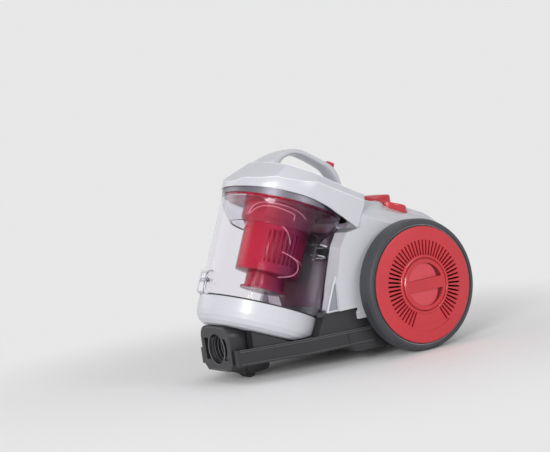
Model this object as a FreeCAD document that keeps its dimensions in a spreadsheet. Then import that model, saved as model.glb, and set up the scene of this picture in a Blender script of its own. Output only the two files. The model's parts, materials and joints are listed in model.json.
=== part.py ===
import FreeCAD, Part
import math
import os
import re
import Sketcher

# Canister vacuum cleaner with a clear tilted dust bin between two large rear
# wheels. Millimetres. +Z is up, the hose port faces -Y, the floor is Z = 0 and
# the origin is the middle of the footprint. Left is -X and right is +X.

V = FreeCAD.Vector
TURN = FreeCAD.Rotation

SIZES = (
    # wheels and exhaust covers
    ("tyre_radius", 92, "outside radius of the rubber tyre"),
    ("tyre_bore", 84, "radius at which the tyre sits on its rim"),
    ("tyre_width", 27, "width of the tyre"),
    ("wheel_outer", 130, "outer face of the tyre, from the middle plane"),
    ("axle_y", 94, "wheel centre behind the origin"),
    ("drum_radius", 78, "fixed drum on which the rim runs"),
    ("drum_wall", 3.5, "wall of the drum"),
    ("drum_floor", 3, "floor of the drum"),
    ("drum_flange", 4, "how far the drum's flange stands out behind the rim"),
    ("wheel_gap", 0.3, "running clearance of the wheels"),
    ("filter_port", 34, "radius of the air opening behind the exhaust filter"),
    ("filter_depth", 13, "thickness of the exhaust filter"),
    ("grille_radius", 81, "radius of the red exhaust cover"),
    ("sleeve_depth", 9, "depth of the cover's sleeve in the drum"),
    ("sleeve_wall", 2.5, "wall of the cover's sleeve"),
    ("slot_inner", 41, "inner radius of the radial slots"),
    ("slot_outer", 62, "outer radius of the radial slots"),
    ("slot_width", 2.5, "width of a radial slot"),
    ("ledge_chord", 54, "distance of the thumb ledge's edge from the wheel's axis"),
    ("ledge_depth", 1.2, "depth of the thumb ledge in the exhaust cover"),
    ("slot_pitch", 6, "angle between slots in degrees"),
    ("slot_count", 51, "number of radial slots"),
    ("knob_radius", 36, "radius of the twist knob"),
    ("knob_shaft", 11, "radius of the knob's shaft"),
    ("knob_shaft_length", 14, "length of the knob's shaft behind the cover"),
    ("knob_bar", 8, "half height of the grip bar"),
    ("knob_dish", 30, "radius of the two finger recesses"),
    ("knob_dish_depth", 4, "depth of the finger recesses"),
    ("play", 0.3, "clearance between pieces that move past each other"),
    # body
    ("body_half", 98, "half width of the white body"),
    ("body_wall", 2.8, "wall of the white body"),
    ("body_crown", 135, "radius of the crowned top of the body"),
    ("body_corner", 30, "plan radius of the rear corners"),
    ("body_rear", 177, "rear face of the body"),
    ("cord_hole", 4, "radius of the cord outlet"),
    ("cord_z", 150, "height of the cord outlet"),
    # bin
    ("bin_tilt", 23.7, "lean of the bin in degrees"),
    ("bin_y", -96, "centre of the bin's lower rim"),
    ("bin_z", 92, "height of the centre of the bin's lower rim"),
    ("bin_radius", 85, "outside radius of the clear bin"),
    ("bin_wall", 2.5, "wall of the clear bin"),
    ("bin_length", 143.5, "length of the clear bin"),
    ("bin_gap", 1.2, "clearance between the bin and its seat in the body"),
    ("bin_travel", 280, "how far the bin lifts out"),
    ("inlet_width", 44, "width of the air inlet in the bin's back"),
    ("inlet_low", 88, "lower edge of the air inlet along the bin"),
    ("inlet_high", 110, "upper edge of the air inlet along the bin"),
    ("seal_height", 1.8, "height of the seal under the bin's rim"),
    ("flap_depth", 40, "depth of the bottom flap"),
    ("flap_wall", 2.6, "wall of the bottom flap"),
    ("flap_round", 20, "rounding of the bottom flap"),
    ("flap_floor_z", 47.5, "height of the flap's level rear part"),
    ("flap_pin_radius", 2, "radius of the flap's hinge pin"),
    ("flap_pin_y", 79, "flap hinge, behind the bin's axis"),
    ("flap_pin_drop", 5.5, "flap hinge, below the bin's lower rim"),
    ("latch_half", 10, "half width of the flap latch"),
    ("latch_reach", 9.5, "how far the latch housing stands out of the bin"),
    # cyclone core
    ("core_radius", 45, "radius of the louvred core"),
    ("core_low", 49, "lower end of the louvred core"),
    ("core_high", 112, "upper end of the louvred core"),
    ("core_wall", 2.5, "wall of the core"),
    ("neck_radius", 28, "radius of the core's neck"),
    ("neck_low", 22, "lower end of the core's neck"),
    ("crown_radius", 52, "radius of the core's upper tier"),
    ("louvre_count", 31, "number of slots round the core"),
    ("louvre_pitch", 8.6, "angle between the core's slots in degrees"),
    ("louvre_width", 3.2, "width of a slot in the core"),
    # lid
    ("lid_radius", 88.3, "radius of the lid's rounded front"),
    ("lid_corner_x", 90, "half width of the lid at its rear corners"),
    ("lid_corner_y", 77, "rear corners of the lid behind the bin's axis"),
    ("lid_back", 98, "middle of the lid's rear edge behind the bin's axis"),
    ("lid_wall", 2.6, "wall of the lid"),
    ("lid_top", 188, "height of the lid's flat top along the bin, over the bin's axis"),
    ("lid_fall", 0.1, "slope of the lid's flat top"),
    ("trim_height", 9, "height of the silver ring between the bin and the lid"),
    ("handle_half", 15.5, "half width of the carrying handle"),
    ("handle_root", 34, "half width of the handle's front root"),
    ("button_half", 8, "half width of the release button"),
    # chassis
    ("floor_gap", 24.7, "height of the chassis front over the floor"),
    ("rear_floor", 15.5, "height of the chassis over the floor between the wheels"),
    ("rail_top", 46.8, "top of the side rails"),
    ("rail_lip", 2.6, "height of the lips along the side rails"),
    ("rail_sink", 0.9, "depth of the panel between the rails' lips"),
    ("shell_base", 60, "joint between the chassis and the white body"),
    ("chassis_wall", 3, "wall of the chassis"),
    ("port_half", 40.5, "half width of the hose port"),
    ("port_front", -172.8, "front face of the hose port"),
    ("port_back", -147.8, "rear face of the hose port"),
    ("port_z", 47.5, "height of the hose port's axis"),
    ("port_below", 30, "hose port below its axis"),
    ("port_above", 32, "hose port above its axis"),
    ("port_shoulder", 17, "radius of the hose port's shoulders"),
    ("port_corner", 10, "chamfer of the hose port's lower corners"),
    ("port_bore", 19.5, "radius of the hose port's bore"),
    ("port_mouth", 21.5, "radius of the hose port's mouth"),
    ("port_mouth_depth", 6, "depth of the hose port's mouth"),
    ("port_ear_half", 34, "half width of the two side notches of the mouth"),
    ("port_ear_height", 14.8, "half height of the two side notches of the mouth"),
    ("duct_wall", 2, "wall of the air duct"),
    ("duct_half", 32, "half width of the flat air duct"),
    ("duct_height", 15.5, "height of the flat air duct"),
    ("caster_y", -122, "swivel axis of the front caster"),
    ("caster_trail", 8, "distance from the swivel axis to the roller's axle"),
    ("roller_radius", 10, "radius of the caster roller"),
    ("roller_half", 9, "half width of the caster roller"),
    ("caster_dish", 19, "radius of the caster's dome"),
    ("skirt_radius", 25.5, "outer radius of the collar round the caster"),
    ("skirt_low", 8, "lower edge of the collar round the caster"),
    ("swivel_pin", 4, "radius of the caster's swivel pin"),
    ("swivel_boss", 6, "height of the boss round the swivel pin"),
    ("axle_pin", 2.5, "radius of the caster's axle"),
    # motor and reel
    ("motor_y", 110, "motor and reel axis behind the origin"),
    ("motor_z", 115, "height of the motor and reel axis"),
    ("motor_radius", 44, "radius of the motor's can"),
    ("fan_radius", 55, "radius of the fan cover"),
    ("fan_width", 28, "width of the fan cover"),
    ("motor_length", 78, "length of the motor's can"),
    ("shaft_radius", 4, "radius of the motor's shaft"),
    ("reel_radius", 54, "radius of the cord reel's flanges"),
    ("reel_hub", 26, "radius of the cord reel's hub"),
    ("reel_inner", 42, "inner face of the cord reel"),
    ("reel_outer", 86, "outer face of the cord reel"),
    ("spindle_radius", 8, "radius of the reel's spindle"),
    # pedals
    ("pedal_travel", 4, "travel of the foot pedals"),
    ("pedal_base", 188, "height of the pedals' undersides"),
    ("bracket_top", 175, "top of the bracket under the pedals"),
    ("bracket_wall", 3, "thickness of the bracket under the pedals"),
)

# Side profile of the white body: Y and Z of each corner.
BODY_SIDE = (
    (-28, 76), (-26, 111), (-21, 132), (-13, 162), (1, 180), (20, 182), (28, 184),
    (44, 222), (66, 220), (83, 214), (114, 212), (144, 202), (172, 184.5), (177, 160),
    (177, 60), (2, 60), (2, 76),
)

# Plan of the chassis: half width X at each Y, from the port to the rear.
CHASSIS_PLAN = ((51, -170), (85, -75), (96.5, 12), (97.7, 22), (97.7, 150), (80, 172))

# Side profile of the chassis tray: Y and Z of each corner.
CHASSIS_SIDE = (
    (-170, 24.7), (-14, 24.7), (-4, 15.5), (154, 15.5), (172, 28), (172, 60), (34, 60), (18, 46.8),
    (-170, 46.8),
)

# Side profile of the dark deck that fills the chassis under the bin.
DECK_SIDE = (
    (-146, 27.7), (-146, 71), (-98, 46.5), (-60, 46.5), (-45, 75.5), (1.5, 75.5), (1.5, 59.6), (24, 59.6),
    (24, 27.7),
)

# Lower edge of the lid in the bin's frame, front to rear: Y and height.
LID_EDGE = (
    (-110, 148), (-75, 152), (-50, 153.5), (-15, 152.5), (0, 151.5), (22, 148), (44, 141.5), (66, 135),
    (77, 131.5), (110, 122),
)

# Half outline of the lid's facets at their foot (height 150) and at the flat top.
LID_FOOT_HEIGHT = 150
LID_FOOT = ((36, -94), (72, -73), (109, 0), (102, 77))
LID_FOOT_BULGE = (102, 104)
LID_FLAT = ((14, -58), (62, -39), (78, -5), (85, 77))

# Side profile of the carrying handle in the bin's frame, outer then inner edge.
HANDLE_SIDE = (
    (-60, 186), (-43, 207), (-26, 220), (-12, 227), (2, 231), (21, 230.3), (47, 227), (60, 225.5),
    (68, 220.5),
    (78, 210.5), (86, 201), (96, 176), (82, 176), (75.5, 196), (70, 206), (64, 213), (51, 217), (20, 222.5),
    (5, 223.5), (-4, 222), (-13, 216), (-22, 206), (-33, 186),
)


# ---------------------------------------------------------------- document

doc = FreeCAD.newDocument("canister_vacuum")
sheet = doc.addObject("Spreadsheet::Sheet", "Sizes")
for row, (alias, value, meaning) in enumerate(SIZES, start=1):
    sheet.set("A%d" % row, alias)
    sheet.set("B%d" % row, str(value))
    sheet.set("C%d" % row, meaning)
    sheet.setAlias("B%d" % row, alias)
doc.recompute()

ALIASES = {alias for alias, value, meaning in SIZES}
nodes = {}


def formula(text):
    """The text with every size's name pointed at the spreadsheet."""
    def point(match):
        word = match.group()
        return "Sizes." + word if word in ALIASES else word
    return re.sub(r"[a-z_]+", point, text)


def number(text):
    """The value of a formula written with the sizes' names."""
    return float(sheet.evalExpression(formula(str(text))))


def bind(thing, prop, text):
    thing.setExpression(prop, formula(text))


def origin_plane(body, role):
    return [item for item in body.Origin.OriginFeatures if item.Role == role][0]


def new_body(label):
    body = doc.addObject("PartDesign::Body", label)
    nodes[label] = body
    return body


def add_sketch(body, plane, offset="0"):
    sketch = body.newObject("Sketcher::SketchObject", body.Label + "_sketch")
    sketch.AttachmentSupport = (origin_plane(body, plane), "")
    sketch.MapMode = "FlatFace"
    if offset != "0":
        bind(sketch, ".AttachmentOffset.Base.z", offset)
    return sketch


def place_point(sketch, edge, end, x, y):
    """Holds one end of an edge at formulas x and y."""
    for kind, text, axis in (("DistanceX", x, -2), ("DistanceY", y, -1)):
        if text == "0":
            sketch.addConstraint(Sketcher.Constraint("PointOnObject", edge, end, axis))
            continue
        index = sketch.addConstraint(Sketcher.Constraint(kind, -1, 1, edge, end, number(text)))
        bind(sketch, "Constraints[%d]" % index, text)


def outline(body, plane, corners, offset="0"):
    """A closed sketch of straight lines through corners given as formulas."""
    sketch = add_sketch(body, plane, offset)
    spots = [V(number(x), number(y), 0) for x, y in corners]
    count = len(spots)
    for index in range(count):
        sketch.addGeometry(Part.LineSegment(spots[index], spots[(index + 1) % count]), False)
    for index in range(count):
        sketch.addConstraint(Sketcher.Constraint("Coincident", index, 2, (index + 1) % count, 1))
    for index, (x, y) in enumerate(corners):
        place_point(sketch, index, 1, x, y)
    return sketch


def revolve(body, corners):
    """Turns a profile of (radius, height) round the body's Z axis."""
    sketch = outline(body, "XZ_Plane", corners)
    feature = body.newObject("PartDesign::Revolution", body.Label + "_turned")
    feature.Profile = sketch
    feature.ReferenceAxis = (sketch, ["V_Axis"])
    feature.Angle = 360
    return feature


def turned(label, corners):
    body = new_body(label)
    revolve(body, corners)
    return body


def pocket(body, sketch, depth):
    feature = body.newObject("PartDesign::Pocket", body.Label + "_pocket")
    feature.Profile = sketch
    bind(feature, "Length", depth)
    return feature


def polar(body, feature, count, angle):
    """Repeats a feature round the body's Z axis."""
    pattern = body.newObject("PartDesign::PolarPattern", body.Label + "_pattern")
    pattern.Originals = [feature]
    pattern.Axis = (origin_plane(body, "Z_Axis"), [""])
    bind(pattern, "Angle", angle)
    bind(pattern, "Occurrences", count)
    body.Tip = pattern
    return pattern


def primitive(label, kind, **sizes):
    """A Part primitive whose sizes are formulas."""
    thing = doc.addObject("Part::" + kind, label)
    for prop, text in sizes.items():
        bind(thing, prop, text)
    return thing


def move(thing, x="0", y="0", z="0", turn=None):
    """Places an object at formulas x, y, z."""
    base = V(number(x), number(y), number(z))
    thing.Placement = FreeCAD.Placement(base, turn or TURN())
    for axis, text in (("x", x), ("y", y), ("z", z)):
        if text != "0":
            bind(thing, ".Placement.Base." + axis, text)
    return thing


def feature(label, shape, place=None):
    """A free-form piece made with Part's own functions."""
    thing = doc.addObject("Part::Feature", label)
    thing.Shape = shape
    if place:
        thing.Placement = place
    nodes[label] = thing
    return thing


def less(label, base, tools):
    """The base with every tool cut away."""
    for index, tool in enumerate(tools):
        last = index == len(tools) - 1
        cut = doc.addObject("Part::Cut", label if last else "%s_cut_%d" % (label, index))
        cut.Base = base
        cut.Tool = tool
        base = cut
    nodes[label] = base
    return base


# ---------------------------------------------------------------- frames

def bin_frame():
    """The bin's own frame: Z along its axis, Y to the rear."""
    lean = TURN(V(1, 0, 0), -number("bin_tilt"))
    return FreeCAD.Placement(V(0, number("bin_y"), number("bin_z")), lean)


def in_bin(thing, x="0", y="0", z="0", twist=0):
    """Places an object in the bin's frame at formulas x, y, z, turned about the bin's axis."""
    tilt = math.radians(number("bin_tilt"))
    bind(thing, ".Placement.Base.x", x)
    bind(thing, ".Placement.Base.y", "bin_y + (%s) * cos(bin_tilt) + (%s) * sin(bin_tilt)" % (y, z))
    bind(thing, ".Placement.Base.z", "bin_z - (%s) * sin(bin_tilt) + (%s) * cos(bin_tilt)" % (y, z))
    local = FreeCAD.Placement(V(number(x), number(y), number(z)), TURN(V(0, 0, 1), twist))
    thing.Placement = bin_frame() * local
    return thing


def on_wheel(thing, side, twist=0):
    """Places an object on a wheel's axis: its Z points outwards, its Y up."""
    turn = TURN(V(1, 1, 1), 120)
    if side < 0:
        turn = TURN(V(0, 0, 1), 180) * turn
    return move(thing, "0", "axle_y", "tyre_radius", turn * TURN(V(0, 0, 1), twist))


# ---------------------------------------------------------------- wheels

def tyre(name, side):
    face = "wheel_outer"
    back = "wheel_outer - tyre_width"
    body = turned(name, (
        ("tyre_bore", back), ("tyre_radius - 3", back), ("tyre_radius", back + " + 5"),
        ("tyre_radius", face + " - 7"), ("tyre_radius - 2", face + " - 2"),
        ("tyre_radius - 5", face), ("tyre_bore", face)))
    on_wheel(body, side)


def rim(name, side):
    back = "wheel_outer - tyre_width + 1"
    face = "wheel_outer - 2"
    bore = "drum_radius + wheel_gap"
    body = turned(name, ((bore, back), ("tyre_bore", back), ("tyre_bore", face), (bore, face)))
    on_wheel(body, side)


def drum(name, side):
    """The fixed cup that carries the running rim and holds the exhaust filter."""
    step = "wheel_outer - tyre_width + 0.7"
    floor = "body_half + drum_floor"
    inside = "drum_radius - drum_wall"
    body = turned(name, (
        ("filter_port", "body_half"), ("drum_radius + drum_flange", "body_half"),
        ("drum_radius + drum_flange", step), ("drum_radius", step),
        ("drum_radius", "wheel_outer - 2"), (inside, "wheel_outer - 2"),
        (inside, floor), ("filter_port", floor)))
    on_wheel(body, side)


def exhaust_filter(name, side):
    floor = "body_half + drum_floor"
    edge = "drum_radius - drum_wall - 0.5"
    body = turned(name, (
        ("0", floor), (edge, floor), (edge, floor + " + filter_depth"),
        (edge + " - 5", floor + " + filter_depth"),
        (edge + " - 5", floor + " + filter_depth - 3"), ("0", floor + " + filter_depth - 3")))
    on_wheel(body, side)


def grille(name, side):
    """The red exhaust cover: a shallow dome with radial slots and a sleeve behind."""
    back = "wheel_outer - 1.5"
    sleeve = "drum_radius - drum_wall - play"
    body = turned(name, (
        ("knob_shaft + play", back), (sleeve + " - sleeve_wall", back),
        (sleeve + " - sleeve_wall", back + " - sleeve_depth"),
        (sleeve, back + " - sleeve_depth"), (sleeve, back), ("grille_radius", back),
        ("grille_radius", back + " + 1.6"), ("grille_radius - 2", back + " + 2.6"),
        ("slot_outer + 3", back + " + 3.8"), ("knob_radius + 3.5", back + " + 4.6"),
        ("knob_radius + 0.8", back + " + 4.6"), ("knob_radius + 0.8", back + " + 2"),
        ("knob_shaft + play", back + " + 2")))
    sketch = outline(body, "XY_Plane", (
        ("slot_inner", "-slot_width / 2"), ("slot_outer", "-slot_width / 2"),
        ("slot_outer", "slot_width / 2"), ("slot_inner", "slot_width / 2")),
        back + " + 6")
    slot = pocket(body, sketch, "7")
    polar(body, slot, "slot_count", "slot_pitch * (slot_count - 1)")
    ledge = half_moon(body, -1, back + " + 6", "slot_outer + 3", "ledge_chord")
    half_gap = (360 - number("slot_pitch * (slot_count - 1)")) / 2
    ledge.AttachmentOffset = FreeCAD.Placement(ledge.AttachmentOffset.Base, TURN(V(0, 0, 1), 90 - half_gap))
    pocket(body, ledge, "2.2 + ledge_depth")
    on_wheel(body, side, half_gap - 90)


def half_moon(body, sign, offset, radius_text="knob_dish", bar_text="knob_bar"):
    """A sketch of the part of a circle beyond a chord."""
    sketch = add_sketch(body, "XY_Plane", offset)
    radius = number(radius_text)
    bar = number(bar_text)
    reach = math.sqrt(radius ** 2 - bar ** 2)
    start = math.atan2(bar, reach)
    circle = Part.Circle(V(0, 0, 0), V(0, 0, 1), radius)
    low = start if sign > 0 else math.pi + start
    arc = Part.ArcOfCircle(circle, low, low + math.pi - 2 * start)
    sketch.addGeometry(arc, False)
    chord = Part.LineSegment(arc.EndPoint, arc.StartPoint)
    sketch.addGeometry(chord, False)
    sketch.addConstraint(Sketcher.Constraint("Coincident", 0, 2, 1, 1))
    sketch.addConstraint(Sketcher.Constraint("Coincident", 0, 1, 1, 2))
    sketch.addConstraint(Sketcher.Constraint("Coincident", 0, 3, -1, 1))
    index = sketch.addConstraint(Sketcher.Constraint("Radius", 0, radius))
    bind(sketch, "Constraints[%d]" % index, radius_text)
    sketch.addConstraint(Sketcher.Constraint("Horizontal", 1))
    index = sketch.addConstraint(Sketcher.Constraint("DistanceY", -1, 1, 1, 1, sign * bar))
    bind(sketch, "Constraints[%d]" % index, bar_text if sign > 0 else "-(%s)" % bar_text)
    return sketch


def knob(name, side):
    back = "wheel_outer - 1.5"
    body = turned(name, (
        ("0", back + " - knob_shaft_length"), ("knob_shaft", back + " - knob_shaft_length"),
        ("knob_shaft", back + " + 2 + play"), ("knob_radius", back + " + 2 + play"),
        ("knob_radius", back + " + 5.6"), ("knob_radius - 1.4", back + " + 7"),
        ("0", back + " + 7")))
    for sign in (1, -1):
        sketch = half_moon(body, sign, back + " + 8")
        pocket(body, sketch, "1 + knob_dish_depth")
    on_wheel(body, side)


for label, side in (("left", -1), ("right", 1)):
    tyre("tyre_" + label, side)
    rim("wheel_rim_" + label, side)
    drum("wheel_drum_" + label, side)
    exhaust_filter("exhaust_filter_" + label, side)
    grille("exhaust_grille_" + label, side)
    knob("grille_knob_" + label, side)


# ---------------------------------------------------------------- helpers for free forms

def prism_x(points, low, high):
    """A side profile in Y and Z carried along X."""
    wire = Part.makePolygon([V(low, y, z) for y, z in points + (points[0],)])
    return Part.Face(wire).extrude(V(high - low, 0, 0))


def prism_z(points, low, high):
    """A plan in X and Y carried up along Z."""
    wire = Part.makePolygon([V(x, y, low) for x, y in points + (points[0],)])
    return Part.Face(wire).extrude(V(0, 0, high - low))


def block(x, y, z, size_x, size_y, size_z):
    """A box centred on x that starts at y and z."""
    return Part.makeBox(size_x, size_y, size_z, V(x - size_x / 2, y, z))


def placed(shape, place):
    copy = shape.copy()
    copy.Placement = place * copy.Placement
    return copy


def lid_column(grow, drop):
    """The lid's plan carried up from its lower edge, grown and lowered."""
    column = Part.Face(lid_outline(grow, 100)).extrude(V(0, 0, 400))
    edge = tuple((y, z - drop) for y, z in LID_EDGE)
    return column.common(prism_x(edge + ((110, 500), (-110, 500)), -150, 150))


def lid_outline(grow, height):
    """Plan of the lid: a round front, near-straight sides and a bowed rear edge."""
    radius = number("lid_radius") + grow
    corner_x = number("lid_corner_x") + grow
    corner_y = number("lid_corner_y") + grow
    back = number("lid_back") + grow
    right = V(corner_x, corner_y, height)
    left = V(-corner_x, corner_y, height)
    edges = [
        Part.Arc(V(-radius, 0, height), V(0, -radius, height), V(radius, 0, height)).toShape(),
        Part.LineSegment(V(radius, 0, height), right).toShape(),
        Part.Arc(right, V(0, back, height), left).toShape(),
        Part.LineSegment(left, V(-radius, 0, height)).toShape(),
    ]
    return Part.Wire(edges)


# ---------------------------------------------------------------- white body

def body_form(inset):
    """The outer form of the body, drawn in by inset on every side."""
    half = number("body_half") - inset
    side = Part.Face(Part.makePolygon([V(-half, y, z) for y, z in BODY_SIDE + (BODY_SIDE[0],)]))
    if inset:
        side = Part.Face(side.OuterWire.makeOffset2D(-inset, 2))
    prism = side.extrude(V(2 * half, 0, 0))
    slope = math.radians(18)
    along = V(0, math.cos(slope), -math.sin(slope))
    over = V(0, math.sin(slope), math.cos(slope))
    radius = number("body_crown")
    centre = V(0, 114, 213) - over * radius - along * 300
    crown = Part.makeCylinder(radius - inset, 600, centre, along)
    neck_front = [V(x, 24, z) for x, z in ((-92, 150), (-84, 223), (84, 223), (92, 150))]
    neck_rear = [V(x, 116, z) for x, z in ((-92, 150), (-46, 206), (46, 206), (92, 150))]
    wires = [Part.makePolygon(points + points[:1]) for points in (neck_front, neck_rear)]
    neck = Part.makeLoft(wires, True, True)
    corner = number("body_corner")
    rear = number("body_rear") - inset
    plan = Part.makeBox(2 * half, 300, 300, V(-half, rear - 300, 0))
    upright = [edge for edge in plan.Edges
               if abs(edge.Vertexes[0].Y - rear) < 1e-6 and abs(edge.Vertexes[1].Y - rear) < 1e-6
               and abs(edge.Vertexes[0].X - edge.Vertexes[1].X) < 1e-6]
    plan = plan.makeFillet(corner - inset, upright)
    if inset:
        neck.translate(V(0, 0, -inset))
    return prism.common(crown.fuse(neck)).common(plan)


def body_shell():
    wall = number("body_wall")
    seat = number("bin_radius + bin_gap")
    frame = bin_frame()
    tool = placed(Part.makeCylinder(seat, 400, V(0, 0, -100)), frame)
    recess = placed(lid_column(0.6, 0.6), frame)
    cavity = body_form(wall)
    cavity = cavity.fuse(placed(cavity, FreeCAD.Placement(V(0, 0, -wall - 5), TURN())))
    cavity = cavity.cut(placed(Part.makeCylinder(seat + wall, 400, V(0, 0, -100)), frame))
    cavity = cavity.cut(placed(lid_column(0.6 + wall, 0.6 + wall), frame))
    shell = body_form(0).cut(tool).cut(recess).cut(cavity)
    half = number("inlet_width") / 2
    low = number("inlet_low")
    high = number("inlet_high")
    inlet = placed(Part.makeBox(2 * half, 12, high - low, V(-half, seat - 4, low)), frame)
    outlet = placed(Part.makeBox(60, 16, 16, V(-30, number("lid_back") - 6, 146)), frame)
    port_start = V(-150, number("axle_y"), number("tyre_radius"))
    port = Part.makeCylinder(number("filter_port"), 300, port_start, V(1, 0, 0))
    cord_start = V(0, number("body_rear") - 15, number("cord_z"))
    cord = Part.makeCylinder(number("cord_hole") + 4, 30, cord_start, V(0, 1, 0))
    shell = shell.cut(inlet).cut(outlet).cut(port).cut(cord).cut(duct_form(-0.4))
    for pedal in (power_pedal_form(0.5, 30), rewind_pedal_form(0.5, 30)):
        shell = shell.cut(pedal)
    return max(shell.removeSplitter().Solids, key=lambda solid: solid.Volume)


def leaf(length, width, grow):
    """Plan of the long pedal: two arcs that meet in points."""
    half = length / 2 + grow
    side = width / 2 + grow
    edges = [Part.Arc(V(0, -half, 0), V(side, 0, 0), V(0, half, 0)).toShape(),
             Part.Arc(V(0, half, 0), V(-side, 0, 0), V(0, -half, 0)).toShape()]
    return Part.Face(Part.Wire(edges))


def power_pedal_form(grow, trim):
    """The long pedal on the ridge of the body; trim lowers its hull for the hole."""
    stem = leaf(62, 26, grow).extrude(V(0, 0, 60))
    lean = TURN(V(0, 0, 1), -14)
    stem = placed(stem, FreeCAD.Placement(V(8, 112, number("pedal_base") - trim), lean))
    if grow:
        return stem
    dome = Part.makeCylinder(120, 200, V(-100, 104, 222 - 120), V(1, 0, 0))
    return stem.common(dome)


def oval(length, width, corner):
    """Plan of the short pedal: a rounded rectangle with nearly round ends."""
    a = length / 2
    b = width / 2
    plate = Part.makeBox(length, width, 60, V(-a, -b, 0))
    return plate.makeFillet(corner, [edge for edge in plate.Edges if edge.BoundBox.ZLength > 50])


def rewind_pedal_form(grow, trim):
    """The short pedal on the shoulder of the body; trim lowers its hull for the hole."""
    stem = oval(38 + 2 * grow, 28 + 2 * grow, 13 + grow)
    stem = placed(stem, FreeCAD.Placement(V(52, 118, number("pedal_base") - trim), TURN(V(0, 0, 1), 75)))
    if grow:
        return stem
    barrel = Part.makeCylinder(75, 200, V(52, 18, 204 - 75), V(0, 1, 0))
    return stem.common(barrel)


feature("power_pedal", power_pedal_form(0, 0))
feature("rewind_pedal", rewind_pedal_form(0, 0))

bush = turned("cord_outlet", (
    ("cord_hole", "-5"), ("cord_hole + 3.7", "-5"), ("cord_hole + 3.7", "0"),
    ("cord_hole + 6", "0"), ("cord_hole + 5", "4"), ("cord_hole", "4")))
move(bush, "0", "body_rear", "cord_z", TURN(V(1, 0, 0), -90))


# ---------------------------------------------------------------- chassis

def chassis_plan(inset, low, high, keep=None):
    """The chassis's plan, drawn in by inset, between two heights."""
    right = [(x, y) for x, y in CHASSIS_PLAN]
    left = [(-x, y) for x, y in reversed(CHASSIS_PLAN)]
    wire = Part.makePolygon([V(x, y, low) for x, y in right + left + right[:1]])
    face = Part.Face(wire)
    if inset:
        face = Part.Face(face.OuterWire.makeOffset2D(-inset, 2))
    return face.extrude(V(0, 0, high - low))


def caster_skirt():
    """A short collar under the nose that hides the caster's fork."""
    bore = number("caster_dish") + 1.4
    rim = number("skirt_radius")
    low = number("skirt_low")
    top = number("floor_gap") + 1
    points = ((bore, top), (rim, top), (rim, low + 5), (rim - 3, low), (bore, low))
    profile = Part.makePolygon([V(x, 0, z) for x, z in points + points[:1]])
    ring = Part.Face(profile).revolve(V(0, 0, 0), V(0, 0, 1), 360)
    return placed(ring, FreeCAD.Placement(V(0, number("caster_y"), 0), TURN()))


def rail_panels():
    """The shallow sunk panel along each side rail, which leaves a lip above and below it."""
    lip = number("rail_lip")
    low = number("floor_gap")
    band = block(0, -166, low + lip, 400, 150, number("rail_top") - low - 2 * lip)
    return band.cut(chassis_plan(number("rail_sink"), 0, 100))


def chassis_base():
    """A tray with low side rails in front, deeper and higher between the wheels."""
    low = number("floor_gap")
    wall = number("chassis_wall")
    form = chassis_plan(0, 0, 100).common(prism_x(CHASSIS_SIDE, -150, 150))
    inner = Part.Face(Part.makePolygon([V(-150, y, z) for y, z in CHASSIS_SIDE + (CHASSIS_SIDE[0],)]))
    inner = Part.Face(inner.OuterWire.makeOffset2D(-wall, 2)).extrude(V(300, 0, 0))
    inner = inner.fuse(placed(inner, FreeCAD.Placement(V(0, 0, wall + 1), TURN())))
    form = form.cut(inner.common(chassis_plan(wall, 0, 100)))
    y = number("caster_y")
    form = form.fuse(Part.makeCylinder(number("swivel_pin") + 4, number("swivel_boss"), V(0, y, low)))
    front = y - number("caster_dish") - 1.5
    belly = ((-170, low + 1), (-170, 17.3), (front, 8), (front, low + 1))
    form = form.fuse(prism_x(belly, -number("caster_dish"), number("caster_dish")))
    form = form.fuse(caster_skirt())
    form = form.cut(rail_panels())
    form = form.cut(Part.makeCylinder(number("swivel_pin") + 0.06, 60, V(0, y, 0)))
    half = number("port_half") + 0.3
    notch = Part.makeBox(2 * half, 60, 80, V(-half, number("port_back") - 59.7, number("port_z") - 30.5))
    return form.cut(duct_form(-0.4)).cut(notch).removeSplitter()


def bin_envelope(gap):
    """The space that the closed bin takes, with a gap all round."""
    radius = number("bin_radius") + gap
    depth = number("flap_depth") + gap
    lower = Part.makeCylinder(radius, depth, V(0, 0, -depth))
    edges = [edge for edge in lower.Edges if abs(edge.BoundBox.ZMax + depth) < 1e-6]
    lower = lower.makeFillet(number("flap_round"), edges)
    form = lower.fuse(Part.makeCylinder(radius, 300, V(0, 0, -0.01)))
    form = placed(form, bin_frame())
    floor = number("flap_floor_z") - gap
    return form.common(Part.makeBox(400, 400, 500, V(-200, -200, floor)))


def chassis_deck():
    """The dark moulded cover of the chassis: the bin's seat in the front half."""
    wall = number("chassis_wall")
    side = prism_x(DECK_SIDE, -120, 120)
    form = side.common(chassis_plan(wall + 0.2, 0, 200))
    inner = Part.Face(Part.makePolygon([V(-120, y, z) for y, z in DECK_SIDE + (DECK_SIDE[0],)]))
    inner = Part.Face(inner.OuterWire.makeOffset2D(-wall, 2)).extrude(V(240, 0, 0))
    inner = inner.common(chassis_plan(2 * wall + 0.2, 0, 200))
    inner = inner.fuse(placed(inner, FreeCAD.Placement(V(0, 0, -wall - 1), TURN())))
    inner = inner.cut(bin_envelope(1 + wall))
    form = form.cut(bin_envelope(1)).cut(inner).cut(duct_form(-0.4))
    return max(form.Solids, key=lambda solid: solid.Volume)


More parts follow.
